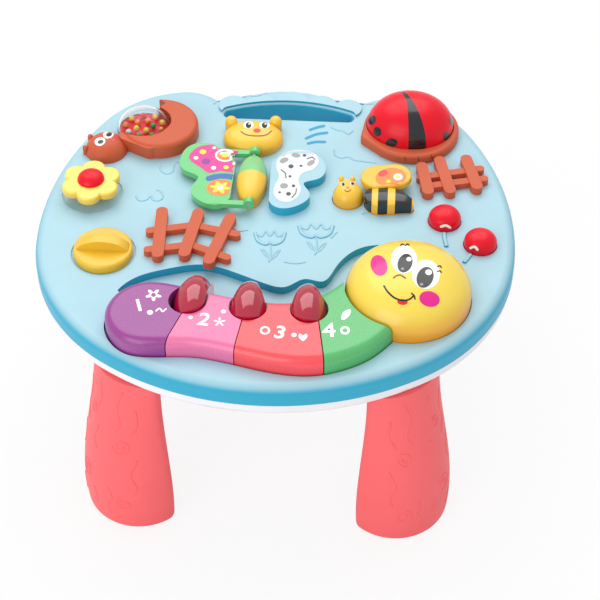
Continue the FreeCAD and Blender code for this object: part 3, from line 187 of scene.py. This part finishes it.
def bead_mix(*tones):
    """Loose beads, each in one of several tones."""
    paint = finish_like("bead_mix", tones[0], rough=0.2)
    tree = paint.node_tree
    ramp = add_node(tree, "ValToRGB")
    ramp.color_ramp.interpolation = "CONSTANT"
    stops = ramp.color_ramp.elements
    for number, tone in enumerate(tones):
        start = number / len(tones)
        stop = stops[number] if number < 2 else stops.new(start)
        stop.position = start
        stop.color = linear(tone)
    tree.links.new(add_node(tree, "NewGeometry").outputs["Random Per Island"], ramp.inputs["Fac"])
    tree.links.new(ramp.outputs["Color"], tree.nodes["Principled BSDF"].inputs["Base Color"])
    return paint


BEADS = bead_mix((250, 216, 30), (240, 240, 236), (40, 160, 60), (232, 40, 50), (250, 140, 40))

FINISHES = {
    DECK: ("top_deck",), SHELL: ("bottom_shell", "battery_door", "switch_housing"),
    LEG: ("front_left_leg", "front_right_leg", "back_left_leg", "back_right_leg"),
    PURPLE: ("key_1",), PINK: ("key_2",), SALMON: ("key_3",), GREEN: ("key_4",),
    RUBY: ("key_light_1", "key_light_2", "key_light_3"), HEAD: ("worm_head",),
    GOLD: ("bee_body", "butterfly_head", "butterfly_body_lower"),
    YELLOW: ("dial_knob", "bee_wing", "flower_spindle"),
    PETAL: ("flower_petals",), RED: ("antenna_button_left", "antenna_button_right", "ladybug_wings",
                                     "flower_heart",
                                     "snail_bead_tray"),
    BLACK: ("ladybug_body", "bee_stripes", "power_switch", "knob_clip"),
    BROWN: ("ladybug_bezel", "snail_body", "left_fence", "right_fence"), CLEAR: ("snail_window",),
    BEADS: ("snail_beads",), WING_GREEN: ("butterfly_wing",), BODY_GREEN: ("butterfly_body_upper",),
    STEEL: ("key_pivot_pins", "butterfly_wing_pin", "battery_contacts", "battery_door_screw", "case_screws"),
    BOARD: ("key_circuit_board", "button_circuit_board"), CONE: ("speaker",),
    SILICONE: tuple(name for name in frame["nodes"] if name.startswith("contact_")),
}
for paint, names in FINISHES.items():
    for name in names:
        slots = frame["nodes"][name].data.materials
        slots.clear()
        slots.append(paint)


# Places seen in the photograph, and places on a node's surface

BODY_OF = {name: body for body, names in frame["record"]["behaviour"]["bodies"].items() for name in names}
surfaces = {}


def surface_of(name):
    if name not in surfaces:
        mesh = frame["nodes"][name].data
        surfaces[name] = BVHTree.FromPolygons([v.co for v in mesh.vertices],
                                              [p.vertices for p in mesh.polygons])
    return surfaces[name]


def land(start, heading, name, lift):
    """The point where a ray meets a node, raised by lift, or None."""
    spot, normal, _, _ = surface_of(name).ray_cast(start, heading)
    if spot is None:
        return None
    if normal.dot(heading) > 0:
        normal = -normal
    return spot + normal * lift * MM


def seen(x, y, name, lift=0.15):
    """The point of a node that shows at a place in the photograph's frame."""
    heading = (right_axis * (x - FRAME / 2) - up_axis * (y - FRAME / 2)) / FOCAL + look
    return land(eye, heading.normalized(), name, lift)


view_matrix = turn.to_matrix()
right_axis, up_axis, look = view_matrix.col[0].copy(), view_matrix.col[1].copy(), -view_matrix.col[2].copy()


def new_object(name, data, body, paint):
    item = bpy.data.objects.new(name, data)
    bpy.context.collection.objects.link(item)
    data.materials.append(paint)
    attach(item, body)
    return item


def mesh_piece(name, points, faces, body, paint, smooth=True):
    mesh = bpy.data.meshes.new(name)
    mesh.from_pydata([tuple(p) for p in points], [], faces)
    mesh.update()
    if smooth:
        mesh.shade_smooth()
    return new_object(name, mesh, body, paint)


# Flat outlines

def ring_points(x, y, wide, tall, lean=0, count=28):
    """An ellipse; lean turns it anticlockwise, in degrees."""
    c, s = math.cos(math.radians(lean)), math.sin(math.radians(lean))
    points = []
    for i in range(count):
        a = 2 * math.pi * i / count
        u, v = wide * math.cos(a), tall * math.sin(a)
        points.append((x + u * c - v * s, y - u * s - v * c))
    return points


def stroke(points, width):
    """The outline of a brush stroke with round ends, through a smoothed run of points."""
    path = smooth_path([Vector(p) for p in points], 6)
    left, other = [], []
    for i, p in enumerate(path):
        heading = (path[min(i + 1, len(path) - 1)] - path[max(i - 1, 0)]).normalized()
        side = Vector((-heading.y, heading.x)) * width / 2
        left.append(p + side)
        other.append(p - side)
    outline = left + cap(path[-1], path[-1] - path[-2], width / 2) + other[::-1]
    outline += cap(path[0], path[0] - path[1], width / 2)
    return [tuple(p) for p in outline]


def cap(middle, heading, radius):
    start = math.atan2(heading.y, heading.x)
    return [middle + Vector((math.cos(start + a), math.sin(start + a))) * radius
            for a in (math.radians(d) for d in (60, 30, 0, -30, -60))]


def between(a, b, c, d, t):
    """A point of the smooth curve from b to c, whose neighbours are a and d."""
    return 0.5 * (2 * b + (c - a) * t + (2 * a - 5 * b + 4 * c - d) * t * t
                  + (3 * b - 3 * c + d - a) * t ** 3)


def smooth_path(points, steps):
    """A smooth open run through the points."""
    if len(points) < 3:
        return [points[0].lerp(points[-1], i / steps) for i in range(steps + 1)]
    ends = [points[0] * 2 - points[1]] + list(points) + [points[-1] * 2 - points[-2]]
    path = []
    for a, b, c, d in zip(ends, ends[1:], ends[2:], ends[3:]):
        for i in range(steps):
            path.append(between(a, b, c, d, i / steps))
    return path + [points[-1]]


def closed_path(points, steps=5):
    """A smooth closed run through the points."""
    points = [Vector(p) for p in points]
    count = len(points)
    path = []
    for i in range(count):
        a, b, c, d = (points[(i + k) % count] for k in (-1, 0, 1, 2))
        for j in range(steps):
            path.append(between(a, b, c, d, j / steps))
    return [tuple(p) for p in path]


def blossom(x, y, radius, petals=5, depth=0.3, lean=0, squash=0.75):
    points = []
    for i in range(petals * 8):
        a = 2 * math.pi * i / (petals * 8)
        reach = radius * (1 - depth / 2 + depth / 2 * math.cos(petals * a))
        points.append((x + reach * math.cos(a + lean), y + squash * reach * math.sin(a + lean)))
    return points


def filled(outline, pitch):
    """Triangles that fill a flat outline, fine enough to follow a curved surface."""
    flat = [Vector(p) for p in outline]
    low_x, high_x = min(p.x for p in flat), max(p.x for p in flat)
    low_y, high_y = min(p.y for p in flat), max(p.y for p in flat)
    points, count = list(flat), len(flat)
    y = low_y + pitch / 2
    while y < high_y:
        x = low_x + pitch / 2
        while x < high_x:
            spot = Vector((x, y))
            if min((spot - p).length for p in flat) > pitch * 0.4:
                points.append(spot)
            x += pitch
        y += pitch
    result = delaunay_2d_cdt(points, [], [list(range(count))], 1, 1e-6)
    return result[0], [list(face) for face in result[2]]


def print_on(name, outline, node, paint, lift=0.12, pitch=2.5):
    """A print: an outline in the photograph's frame, laid on the node that shows there."""
    flat, faces = filled(outline, pitch)
    spots = [seen(p.x, p.y, node, lift) for p in flat]
    good = [face for face in faces if all(spots[i] is not None for i in face)]
    used = sorted({i for face in good for i in face})
    order = {i: n for n, i in enumerate(used)}
    faces = [[order[i] for i in face][::-1] for face in good]
    return mesh_piece(name, [spots[i] for i in used], faces, BODY_OF[node], paint)


def bead_line(name, spots, radius, body, paint):
    """A round relief line through points in space."""
    data = bpy.data.curves.new(name, "CURVE")
    data.dimensions = "3D"
    data.bevel_depth = radius * MM
    data.bevel_resolution = 3
    data.use_fill_caps = True
    spline = data.splines.new("POLY")
    spline.points.add(len(spots) - 1)
    for point, spot in zip(spline.points, spots):
        point.co = (*spot, 1)
    return new_object(name, data, body, paint)


def relief(name, points, node, paint, radius=0.9, sink=0.35):
    """A relief line drawn in the photograph's frame, half sunk in the node that shows there."""
    path = smooth_path([Vector(p) for p in points], 6)
    spots = [seen(p.x, p.y, node, -sink * radius) for p in path]
    return bead_line(name, [s for s in spots if s is not None], radius, BODY_OF[node], paint)


# The worm's face

FACE = "worm_head"
print_on("face_cheek_left", ring_points(379, 265.5, 8.2, 10.6, 18), FACE, PRINT_MAGENTA)
print_on("face_cheek_right", ring_points(429.5, 299, 10.4, 7.8, -14), FACE, PRINT_MAGENTA)
print_on("face_eye_left", ring_points(404, 259.5, 13, 14, 0), FACE, PRINT_WHITE, 0.12)
print_on("face_eye_right", ring_points(426, 274.5, 14, 14.5, 0), FACE, PRINT_WHITE, 0.16)
print_on("face_pupil_left", ring_points(405, 263.3, 7.2, 9.6, -22), FACE, PRINT_BLACK, 0.24)
print_on("face_pupil_right", ring_points(425, 277.5, 8.2, 10.8, -22), FACE, PRINT_BLACK, 0.24)
print_on("face_glint_left", ring_points(409, 259.5, 2.6, 2.2), FACE, PRINT_WHITE, 0.32, 1)
print_on("face_glint_right", ring_points(428.5, 272.5, 3.4, 2.8), FACE, PRINT_WHITE, 0.32, 1)
print_on("face_glint_low_left", ring_points(402.5, 269, 1.6, 1.2), FACE, PRINT_GREY, 0.32, 1)
print_on("face_glint_low_right", ring_points(421.5, 284.5, 1.8, 1.4), FACE, PRINT_GREY, 0.32, 1)
print_on("face_nose", stroke([(393.5, 278), (397, 275.6), (401, 275.4), (405.5, 278.2)], 1.3), FACE,
         PRINT_BROWN, 0.2, 1)
print_on("face_smile", stroke([(384, 286), (387.5, 291.5), (394, 297.5), (402, 300.5), (409, 299.5),
                               (413.5, 296)],
                              1.7), FACE, PRINT_BLACK, 0.2, 1)
print_on("face_smile_end", stroke([(411.5, 293.5), (414, 295.5), (415, 299)], 1.4), FACE, PRINT_BLACK, 0.2, 1)
print_on("face_tongue", ring_points(402.5, 302, 5.2, 2.9, -5), FACE, PRINT_RED, 0.16, 1)
for side, (x, y, lean) in (("left", (404.5, 244.8, 0)), ("right", (439.6, 269.6, 1))):
    for number in range(2):
        if lean:
            tick = [(x - 2.2, y - 3 + 5 * number), (x + 0.4, y - 3.6 + 5 * number),
                    (x + 1.6, y - 2.2 + 5 * number)]
        else:
            tick = [(x - 4 + 5 * number, y + 1), (x - 2.4 + 5 * number, y - 0.6),
                    (x - 0.4 + 5 * number, y + 0.2)]
        print_on(f"face_lash_{side}_{number}", stroke(tick, 1.2), FACE, PRINT_BLACK, 0.2, 1)


# Numerals and small marks on the keys

def numeral(name, text, x, y, height, lean, node):
    """A raised numeral that lies on a key's flat top."""
    curve = bpy.data.curves.new(name + "_text", "FONT")
    curve.body = text
    curve.size = height * MM
    curve.extrude = 0.15 * MM
    curve.offset = 0.35 * MM
    curve.align_x = "CENTER"
    curve.align_y = "CENTER"
    spot = seen(x, y, node, 0.1)
    draft = bpy.data.objects.new(name + "_draft", curve)
    bpy.context.collection.objects.link(draft)
    bpy.context.view_layer.update()
    mesh = bpy.data.meshes.new_from_object(draft.evaluated_get(bpy.context.evaluated_depsgraph_get()))
    bpy.data.objects.remove(draft)
    mesh.transform(Matrix.Translation(spot) @ Matrix.Rotation(math.radians(lean), 4, "Z"))
    mesh.materials.clear()
    return new_object(name, mesh, BODY_OF[node], PRINT_WHITE)


numeral("numeral_1", "1", 139, 306, 17, 18, "key_1")
print_on("mark_1_blossom", blossom(153.5, 295, 8.5, 5, 0.6, 0.3), "key_1", PRINT_WHITE)
print_on("mark_1_blossom_eye", ring_points(153.5, 295, 2.4, 2), "key_1", PURPLE, 0.2, 1)
print_on("mark_1_dot", ring_points(150, 312.5, 3, 2.4), "key_1", PRINT_WHITE, 0.12, 1)
print_on("mark_1_wave", stroke([(156, 311), (159.5, 308.5), (162.5, 311.5), (166, 309)], 1.6), "key_1",
         PRINT_WHITE, 0.12, 1)
numeral("numeral_2", "2", 204, 320, 17, -8, "key_2")
print_on("mark_2_star", blossom(219.5, 322, 6.5, 5, 0.9, -0.3), "key_2", PRINT_WHITE)
print_on("mark_2_dot_left", ring_points(190.5, 317.5, 2.2, 1.8), "key_2", PRINT_WHITE, 0.12, 1)
print_on("mark_2_dot_right", ring_points(223.5, 311.5, 2.6, 2), "key_2", PRINT_WHITE, 0.12, 1)
numeral("numeral_3", "3", 280, 333, 17, -8, "key_3")
print_on("mark_3_ring", ring_points(265, 330.5, 5.2, 4.2), "key_3", PRINT_WHITE)
print_on("mark_3_ring_eye", ring_points(265, 330.5, 3, 2.4), "key_3", SALMON, 0.2, 1)
print_on("mark_3_dot", ring_points(294, 335, 2.6, 2.1), "key_3", PRINT_WHITE, 0.12, 1)
print_on("mark_3_heart", closed_path([(303, 341), (298.6, 337), (299.8, 333.6), (303, 335.4), (306.4, 333.8),
                                      (307.4, 337)]),
         "key_3", PRINT_WHITE, 0.12, 1)
numeral("numeral_4", "4", 329, 331, 19, 6, "key_4")
print_on("mark_4_leaf", closed_path([(341, 319), (343.5, 312), (350.5, 309.5), (349.5, 315.5),
                                     (345, 319.5)]), "key_4",
         PRINT_WHITE, 0.12, 1)
print_on("mark_4_ring", ring_points(345, 330.5, 5, 4.2), "key_4", PRINT_WHITE, 0.12, 1)
print_on("mark_4_ring_eye", ring_points(345, 330.5, 2.6, 2.1), "key_4", GREEN, 0.2, 1)


# Butterfly: face, pages and the printed right wing

MOTH = "butterfly_head"
for side, x in (("left", 248.5), ("right", 264.5)):
    print_on(f"moth_eye_{side}", ring_points(x, 125, 5.2, 3.6), MOTH, PRINT_WHITE, 0.12, 1.2)
    print_on(f"moth_pupil_{side}", ring_points(x, 125.4, 2.7, 2.9), MOTH, PRINT_BLACK, 0.2, 1)
    print_on(f"moth_glint_{side}", ring_points(x + 0.8, 124.2, 0.9, 0.8), MOTH, PRINT_WHITE, 0.28, 0.8)
print_on("moth_nose", ring_points(257, 130.6, 3.7, 2.1), MOTH, PRINT_RED, 0.14, 1)
print_on("moth_smile", stroke([(241, 131.6), (246.5, 134.8), (257, 136), (266, 135), (271.5, 131)], 1.1),
         MOTH,
         PRINT_BROWN, 0.14, 1)

PAGE = "butterfly_wing"
page_print = closed_path([(189, 156), (197, 147.5), (210, 144.6), (226, 145.2), (237, 149), (238, 160),
                          (234, 172), (221, 171), (209, 173), (200, 167), (192, 162)])
print_on("page_print_upper", page_print, PAGE, PRINT_MAGENTA)
print_on("page_band", closed_path([(207, 176.5), (221, 173.6), (234, 175), (234, 179.5), (221, 178.5),
                                   (208, 181)]),
         PAGE, PRINT_BLUE, 0.12, 1.5)
print_on("page_print_lower", ring_points(220, 187.5, 13.6, 8.2, 4), PAGE, PRINT_ORANGE)
print_on("page_blossom", blossom(220, 187.5, 10.5, 6, 0.45, 0.2, 0.62), PAGE, PRINT_YELLOW, 0.2)
print_on("page_blossom_eye", ring_points(220, 187.5, 3.2, 2.1), PAGE, PRINT_WHITE, 0.28, 1)
print_on("page_disc_rim", ring_points(225, 155.5, 10, 6.4), PAGE, PRINT_WHITE, 0.2)
print_on("page_disc", ring_points(225, 155.5, 8, 4.9), PAGE, PRINT_ORANGE, 0.28)
print_on("page_disc_eye", ring_points(225, 155.5, 3.6, 2.2), PAGE, PRINT_YELLOW, 0.36, 1)
for number, (x, y, radius, paint) in enumerate(((203, 152, 3.4, PRINT_YELLOW), (196, 158, 2.4, PRINT_WHITE),
                                                (206, 161.5, 4.4, PRINT_PURPLE),
                                                (213.5, 168, 2.6, PRINT_WHITE),
                                                (226, 167.4, 2.8, PRINT_YELLOW), (234, 164, 1.8, PRINT_WHITE),
                                                (214, 148, 1.8, PRINT_WHITE))):
    print_on(f"page_dot_{number}", ring_points(x, y, radius, radius * 0.7), PAGE, paint, 0.2, 1.2)

BASE = "top_deck"
base_print = closed_path([(277, 161), (283, 153.5), (294, 150), (308, 150.6), (317, 156), (318.6, 163),
                          (313, 169.5), (303, 173), (298.6, 180), (301, 189), (297.5, 197), (289, 202),
                          (279, 200.5), (273.6, 193.5), (275, 185), (279, 177), (276.6, 168.5)])
print_on("base_print", base_print, BASE, PRINT_PALE, 0.15)
for number, (x, y, wide, tall, lean) in enumerate(((284, 160.5, 4.6, 2.4, 20), (296, 155.4, 4.4, 2.2, -8),
                                                   (311, 163, 4.2, 2.3, 30), (284, 186, 4, 2.6, 0))):
    print_on(f"base_petal_{number}", ring_points(x, y, wide, tall, lean), BASE, PRINT_GREY, 0.22, 1.2)
for number, (x, y, radius) in enumerate(((304.5, 155.5, 1.8), (291, 166.5, 2.6), (301, 166, 1.4),
                                         (293.5, 186, 1.8),
                                         (288.5, 194, 2.4), (279.6, 192.5, 1.3), (290, 176.5, 1.5))):
    print_on(f"base_dot_{number}", ring_points(x, y, radius, radius * 0.75), BASE, PRINT_BLACK, 0.24, 1)
for number, points in enumerate((((281, 170), (285, 173), (286, 178)),
                                 ((307, 159), (312, 157.4), (314.6, 159.6)),
                                 ((292, 197.5), (295.5, 193.5), (296.4, 189)))):
    print_on(f"base_line_{number}", stroke(points, 1), BASE, PRINT_BLACK, 0.24, 1)


# Bee, snail and ladybug

BEE = "bee_body"
for side, x, y in (("left", 343, 184), ("right", 352.3, 183.2)):
    print_on(f"bee_eye_{side}", ring_points(x, y, 2.4, 2), BEE, PRINT_WHITE, 0.12, 1)
    print_on(f"bee_pupil_{side}", ring_points(x + 0.3, y + 0.3, 1.5, 1.6), BEE, PRINT_BLACK, 0.2, 1)
print_on("bee_nose", ring_points(347.8, 187.6, 2, 1.2), BEE, PRINT_ORANGE, 0.14, 1)
print_on("bee_smile", stroke([(344.4, 190), (347.6, 191.6), (351, 189.6)], 0.8), BEE, PRINT_BROWN, 0.14, 1)
WING = "bee_wing"
print_on("bee_wing_print", ring_points(391, 177.4, 15.5, 9.4, 4), WING, PRINT_ORANGE)
print_on("bee_wing_patch", ring_points(383, 173.5, 5, 3, 20), WING, PRINT_RED, 0.2, 1.2)
print_on("bee_wing_spot_rim", ring_points(398, 177, 4.6, 3.4), WING, PRINT_WHITE, 0.2, 1.2)
print_on("bee_wing_spot", ring_points(398, 177, 2.2, 1.6), WING, PRINT_YELLOW, 0.28, 1)
print_on("bee_wing_dot", ring_points(388.5, 181.5, 2.4, 1.7), WING, PRINT_YELLOW, 0.2, 1)

SNAIL = "snail_body"
for side, x, y in (("left", 100, 141.6), ("right", 108.4, 134.4)):
    print_on(f"snail_eye_{side}", ring_points(x, y, 5.4, 4.2, 15), SNAIL, PRINT_WHITE, 0.12, 1.2)
    print_on(f"snail_pupil_{side}", ring_points(x + 0.6, y + 0.3, 3, 1.9, 15), SNAIL, PRINT_BLACK, 0.2, 1)
print_on("snail_mouth", closed_path([(109, 138), (113, 139), (117.4, 136.2), (117, 139.8), (113, 141.6),
                                     (110, 140.6)]),
         SNAIL, PRINT_RED, 0.14, 1)

for number, (x, y, wide, tall, lean) in enumerate(((372.4, 120, 3.4, 4.8, -20), (377.4, 131.6, 3.8, 4.8, 15),
                                                   (391.6, 142.6, 5.8, 4.2, -4),
                                                   (446.8, 136.6, 3.8, 4.6, -12),
                                                   (452.2, 120, 3.2, 4.6, 10))):
    print_on(f"ladybug_spot_{number}", ring_points(x, y, wide, tall, lean), "ladybug_wings", BLACK, 0.2, 1.5)
for number, points in enumerate((((405, 156.5), (405.4, 161)), ((418, 156.6), (418.8, 161)),
                                 ((431, 154.6), (432.4, 158.6)))):
    print_on(f"bezel_tick_{number}", stroke(points, 0.9), "ladybug_bezel", PRINT_BROWN, 0.12, 1)


# Relief on the deck

def deck_line(name, points, radius=0.9, sink=0.3, paint=DECK):
    return relief(name, points, "top_deck", paint, radius, sink)


def fan(name, x, y, wide):
    """A tulip with an open stem and two leaves, in low relief."""
    cup = [(-1, -5), (-0.8, 3), (-0.3, 6.5), (0, 4.5), (0.3, 6.5), (0.8, 3), (1, -5)]
    rim = [(-1, -5), (-0.55, -1.5), (-0.3, -7), (0, -2), (0.3, -7), (0.55, -1.5), (1, -5)]
    deck_line(name + "_cup", [(x + wide * u, y + v) for u, v in cup], 1.5, 0.2)
    deck_line(name + "_rim", [(x + wide * u, y + v) for u, v in rim], 1.0)
    deck_line(name + "_stem", [(x, y + 6), (x + 1, y + 14), (x - 1, y + 24)], 0.8)
    deck_line(name + "_leaf_left", [(x, y + 20), (x - 5, y + 17), (x - 9, y + 11), (x - 5, y + 13),
                                    (x, y + 20)], 0.7)
    deck_line(name + "_leaf_right", [(x, y + 22), (x + 5, y + 19), (x + 10, y + 12), (x + 5, y + 15),
                                     (x, y + 22)], 0.7)


fan("relief_tulip_left", 270, 238, 15)
fan("relief_tulip_right", 316, 231, 17)
for number, points in enumerate((((310, 130), (317, 127.5), (324, 126)),
                                 ((306, 138.5), (316, 134.5), (327, 132.8)),
                                 ((308, 143.6), (316, 142), (325, 142)))):
    tone = finish_like(f"stroke_tone_{number}", (0, 150, 190), rough=0.4, coat=0.2)
    print_on(f"stroke_{number}", stroke(points, 2.6), "top_deck", tone, 0.1, 1.2)
SWIRLS = (
    ((160, 166), (161, 171), (167, 174), (173, 171), (174, 165), (179, 162), (184, 165), (181, 169)),
    ((136, 196), (139, 200.5), (146, 200), (151, 196), (153, 200), (159, 200.5), (163, 197), (160, 191),
     (156, 190)),
    ((334, 150), (335, 155), (341, 158), (348, 157), (354, 160), (364, 161.5), (376, 163)),
    ((331, 127), (337, 130), (343, 131), (348, 134), (353, 131)),
    ((331, 238), (337, 232)),
    ((232, 228), (240, 231), (248, 230)),
    ((284, 262), (296, 263.5), (306, 262)),
    ((362, 214), (374, 211), (386, 213)),
)
for number, points in enumerate(SWIRLS):
    deck_line(f"relief_swirl_{number}", points, 0.8)
CLOUD = ((214, 104), (222, 97), (240, 94), (256, 96), (273, 91.5), (298, 89.5), (315, 94.6), (335, 94.4),
         (352, 97.4), (365, 104), (374, 103.6))
deck_line("relief_cloud", CLOUD, 0.8)
deck_line("antenna_stalk_left", [(444.5, 229), (444.5, 238), (446.5, 247)], 1.8, 0.1)
deck_line("antenna_stalk_right", [(474, 251), (469, 257), (464, 263)], 1.8, 0.1)
print_on("antenna_notch_left", stroke([(441, 226.5), (446, 225.5), (450, 227.5)], 2.4),
         "antenna_button_left", PRINT_WHITE,
         0.1, 1)
print_on("antenna_notch_right", stroke([(470.5, 248), (474.5, 246.8), (477.5, 249.6)], 2.4),
         "antenna_button_right",
         PRINT_WHITE, 0.1, 1)


# Bark on the legs

LEGS = {
    "front_left_leg": (-99, -124, 180 - 38), "front_right_leg": (99, -124, 180 + 38),
    "back_left_leg": (-125, 97, 50), "back_right_leg": (125, 97, -50),
}


def leg_spot(leg, across, height, sink):
    """A point on a leg's outer face, across from its middle and above the floor."""
    x, y, heading = LEGS[leg]
    a = math.radians(heading)
    side = Vector((math.cos(a), math.sin(a), 0))
    outward = Vector((-math.sin(a), math.cos(a), 0))
    start = Vector((x, y, height)) * MM + side * across * MM + outward * 0.12
    return land(start, -outward, leg, -sink)


def spiral(across, height, radius, turns, lean):
    points = []
    for i in range(int(14 * turns) + 1):
        a = lean + 2 * math.pi * i / 14
        reach = radius * (1 - 0.75 * i / (14 * turns))
        points.append((across + reach * math.cos(a), height + reach * math.sin(a) * 1.15))
    return points


BARK = (
    spiral(-17, 46, 8, 1.6, 0.6), spiral(16, 88, 6.5, 1.5, 3.4), spiral(20, 30, 6, 1.4, 2.0),
    spiral(-13, 108, 4.5, 1.3, 1.0),
    [(-24, 128), (-21, 116), (-24, 104), (-20, 92)], [(-9, 134), (-6, 122), (-9, 112)],
    [(12, 136), (9, 122), (13, 108), (10, 100)], [(22, 122), (24, 108), (21, 98)],
    [(-6, 96), (-9, 84), (-5, 76)], [(-27, 84), (-24, 72), (-27, 62)],
    [(27, 76), (24, 62), (28, 50), (27, 42)],
    [(8, 44), (11, 34), (7, 24), (9, 14)], [(-7, 34), (-4, 24), (-8, 14)], [(-26, 30), (-22, 20), (-25, 12)],
)
for leg in LEGS:
    flip = -1 if "left" in leg else 1
    for number, points in enumerate(BARK):
        path = smooth_path([Vector((flip * p[0], p[1])) for p in points], 5)
        spots = [leg_spot(leg, p.x, p.y, 0.3) for p in path]
        spots = [s for s in spots if s is not None]
        if len(spots) > 3:
            bead_line(f"bark_{leg}_{number}", spots, 0.8, "root", LEG)


# Stage: a pale floor, a large soft light behind and above, and fill from all round

def area(name, place, aim_at, size, power):
    light = bpy.data.lights.new(name, "AREA")
    light.shape = "RECTANGLE"
    light.size, light.size_y = size
    light.energy = power
    item = bpy.data.objects.new(name, light)
    bpy.context.collection.objects.link(item)
    heading = Vector(aim_at) - Vector(place)
    item.matrix_world = Matrix.Translation(place) @ heading.to_track_quat("-Z", "Y").to_matrix().to_4x4()


area("soft_top", (-0.15, 0.9, 1.7), (0, 0, 0.15), (2.4, 1.6), 24)
area("soft_front", (-0.9, -1.5, 1.0), (0, 0, 0.1), (1.4, 1.4), 13)

SKY_STRENGTH = 0.66
WHITE = (1, 1, 1, 1)
FLOOR_TONE = (0.86, 0.86, 0.86, 1)
FLOOR_GLOW = 0.86
FLOOR_REACH = 6
FLOOR_DROP = 0.0005


def light_world():
    """A white world that shows at full strength and lights the table at less."""
    world = bpy.data.worlds.new("surround")
    bpy.context.scene.world = world
    world.use_nodes = True
    tree = world.node_tree
    sky = tree.nodes["Background"]
    sky.inputs["Color"].default_value = WHITE
    sky.inputs["Strength"].default_value = SKY_STRENGTH
    clear_sky = add_node(tree, "Background", {"Color": WHITE, "Strength": 1.0})
    rays = add_node(tree, "LightPath")
    either = add_node(tree, "MixShader")
    tree.links.new(rays.outputs["Is Camera Ray"], either.inputs[0])
    tree.links.new(sky.outputs[0], either.inputs[1])
    tree.links.new(clear_sky.outputs[0], either.inputs[2])
    tree.links.new(either.outputs[0], tree.nodes["World Output"].inputs["Surface"])


def floor_paint():
    """A matt white whose shadow shows only in part."""
    pale = bpy.data.materials.new("floor_pale")
    pale.use_nodes = True
    tree = pale.node_tree
    matt = tree.nodes["Principled BSDF"]
    matt.inputs["Base Color"].default_value = FLOOR_TONE
    matt.inputs["Roughness"].default_value = 0.9
    glow = add_node(tree, "Emission", {"Strength": 1.0})
    rays = add_node(tree, "LightPath")
    share = add_node(tree, "Math", operation="MULTIPLY")
    share.inputs[1].default_value = FLOOR_GLOW
    either = add_node(tree, "MixShader")
    tree.links.new(rays.outputs["Is Camera Ray"], share.inputs[0])
    tree.links.new(share.outputs[0], either.inputs[0])
    tree.links.new(matt.outputs[0], either.inputs[1])
    tree.links.new(glow.outputs[0], either.inputs[2])
    tree.links.new(either.outputs[0], tree.nodes["Material Output"].inputs["Surface"])
    return pale


def lay_floor():
    mesh = bpy.data.meshes.new("floor")
    corners = [(-FLOOR_REACH, -FLOOR_REACH), (FLOOR_REACH, -FLOOR_REACH), (FLOOR_REACH, FLOOR_REACH),
               (-FLOOR_REACH, FLOOR_REACH)]
    mesh.from_pydata([(x, y, -FLOOR_DROP) for x, y in corners], [], [(0, 1, 2, 3)])
    floor = bpy.data.objects.new("floor", mesh)
    bpy.context.collection.objects.link(floor)
    mesh.materials.append(floor_paint())


light_world()
lay_floor()
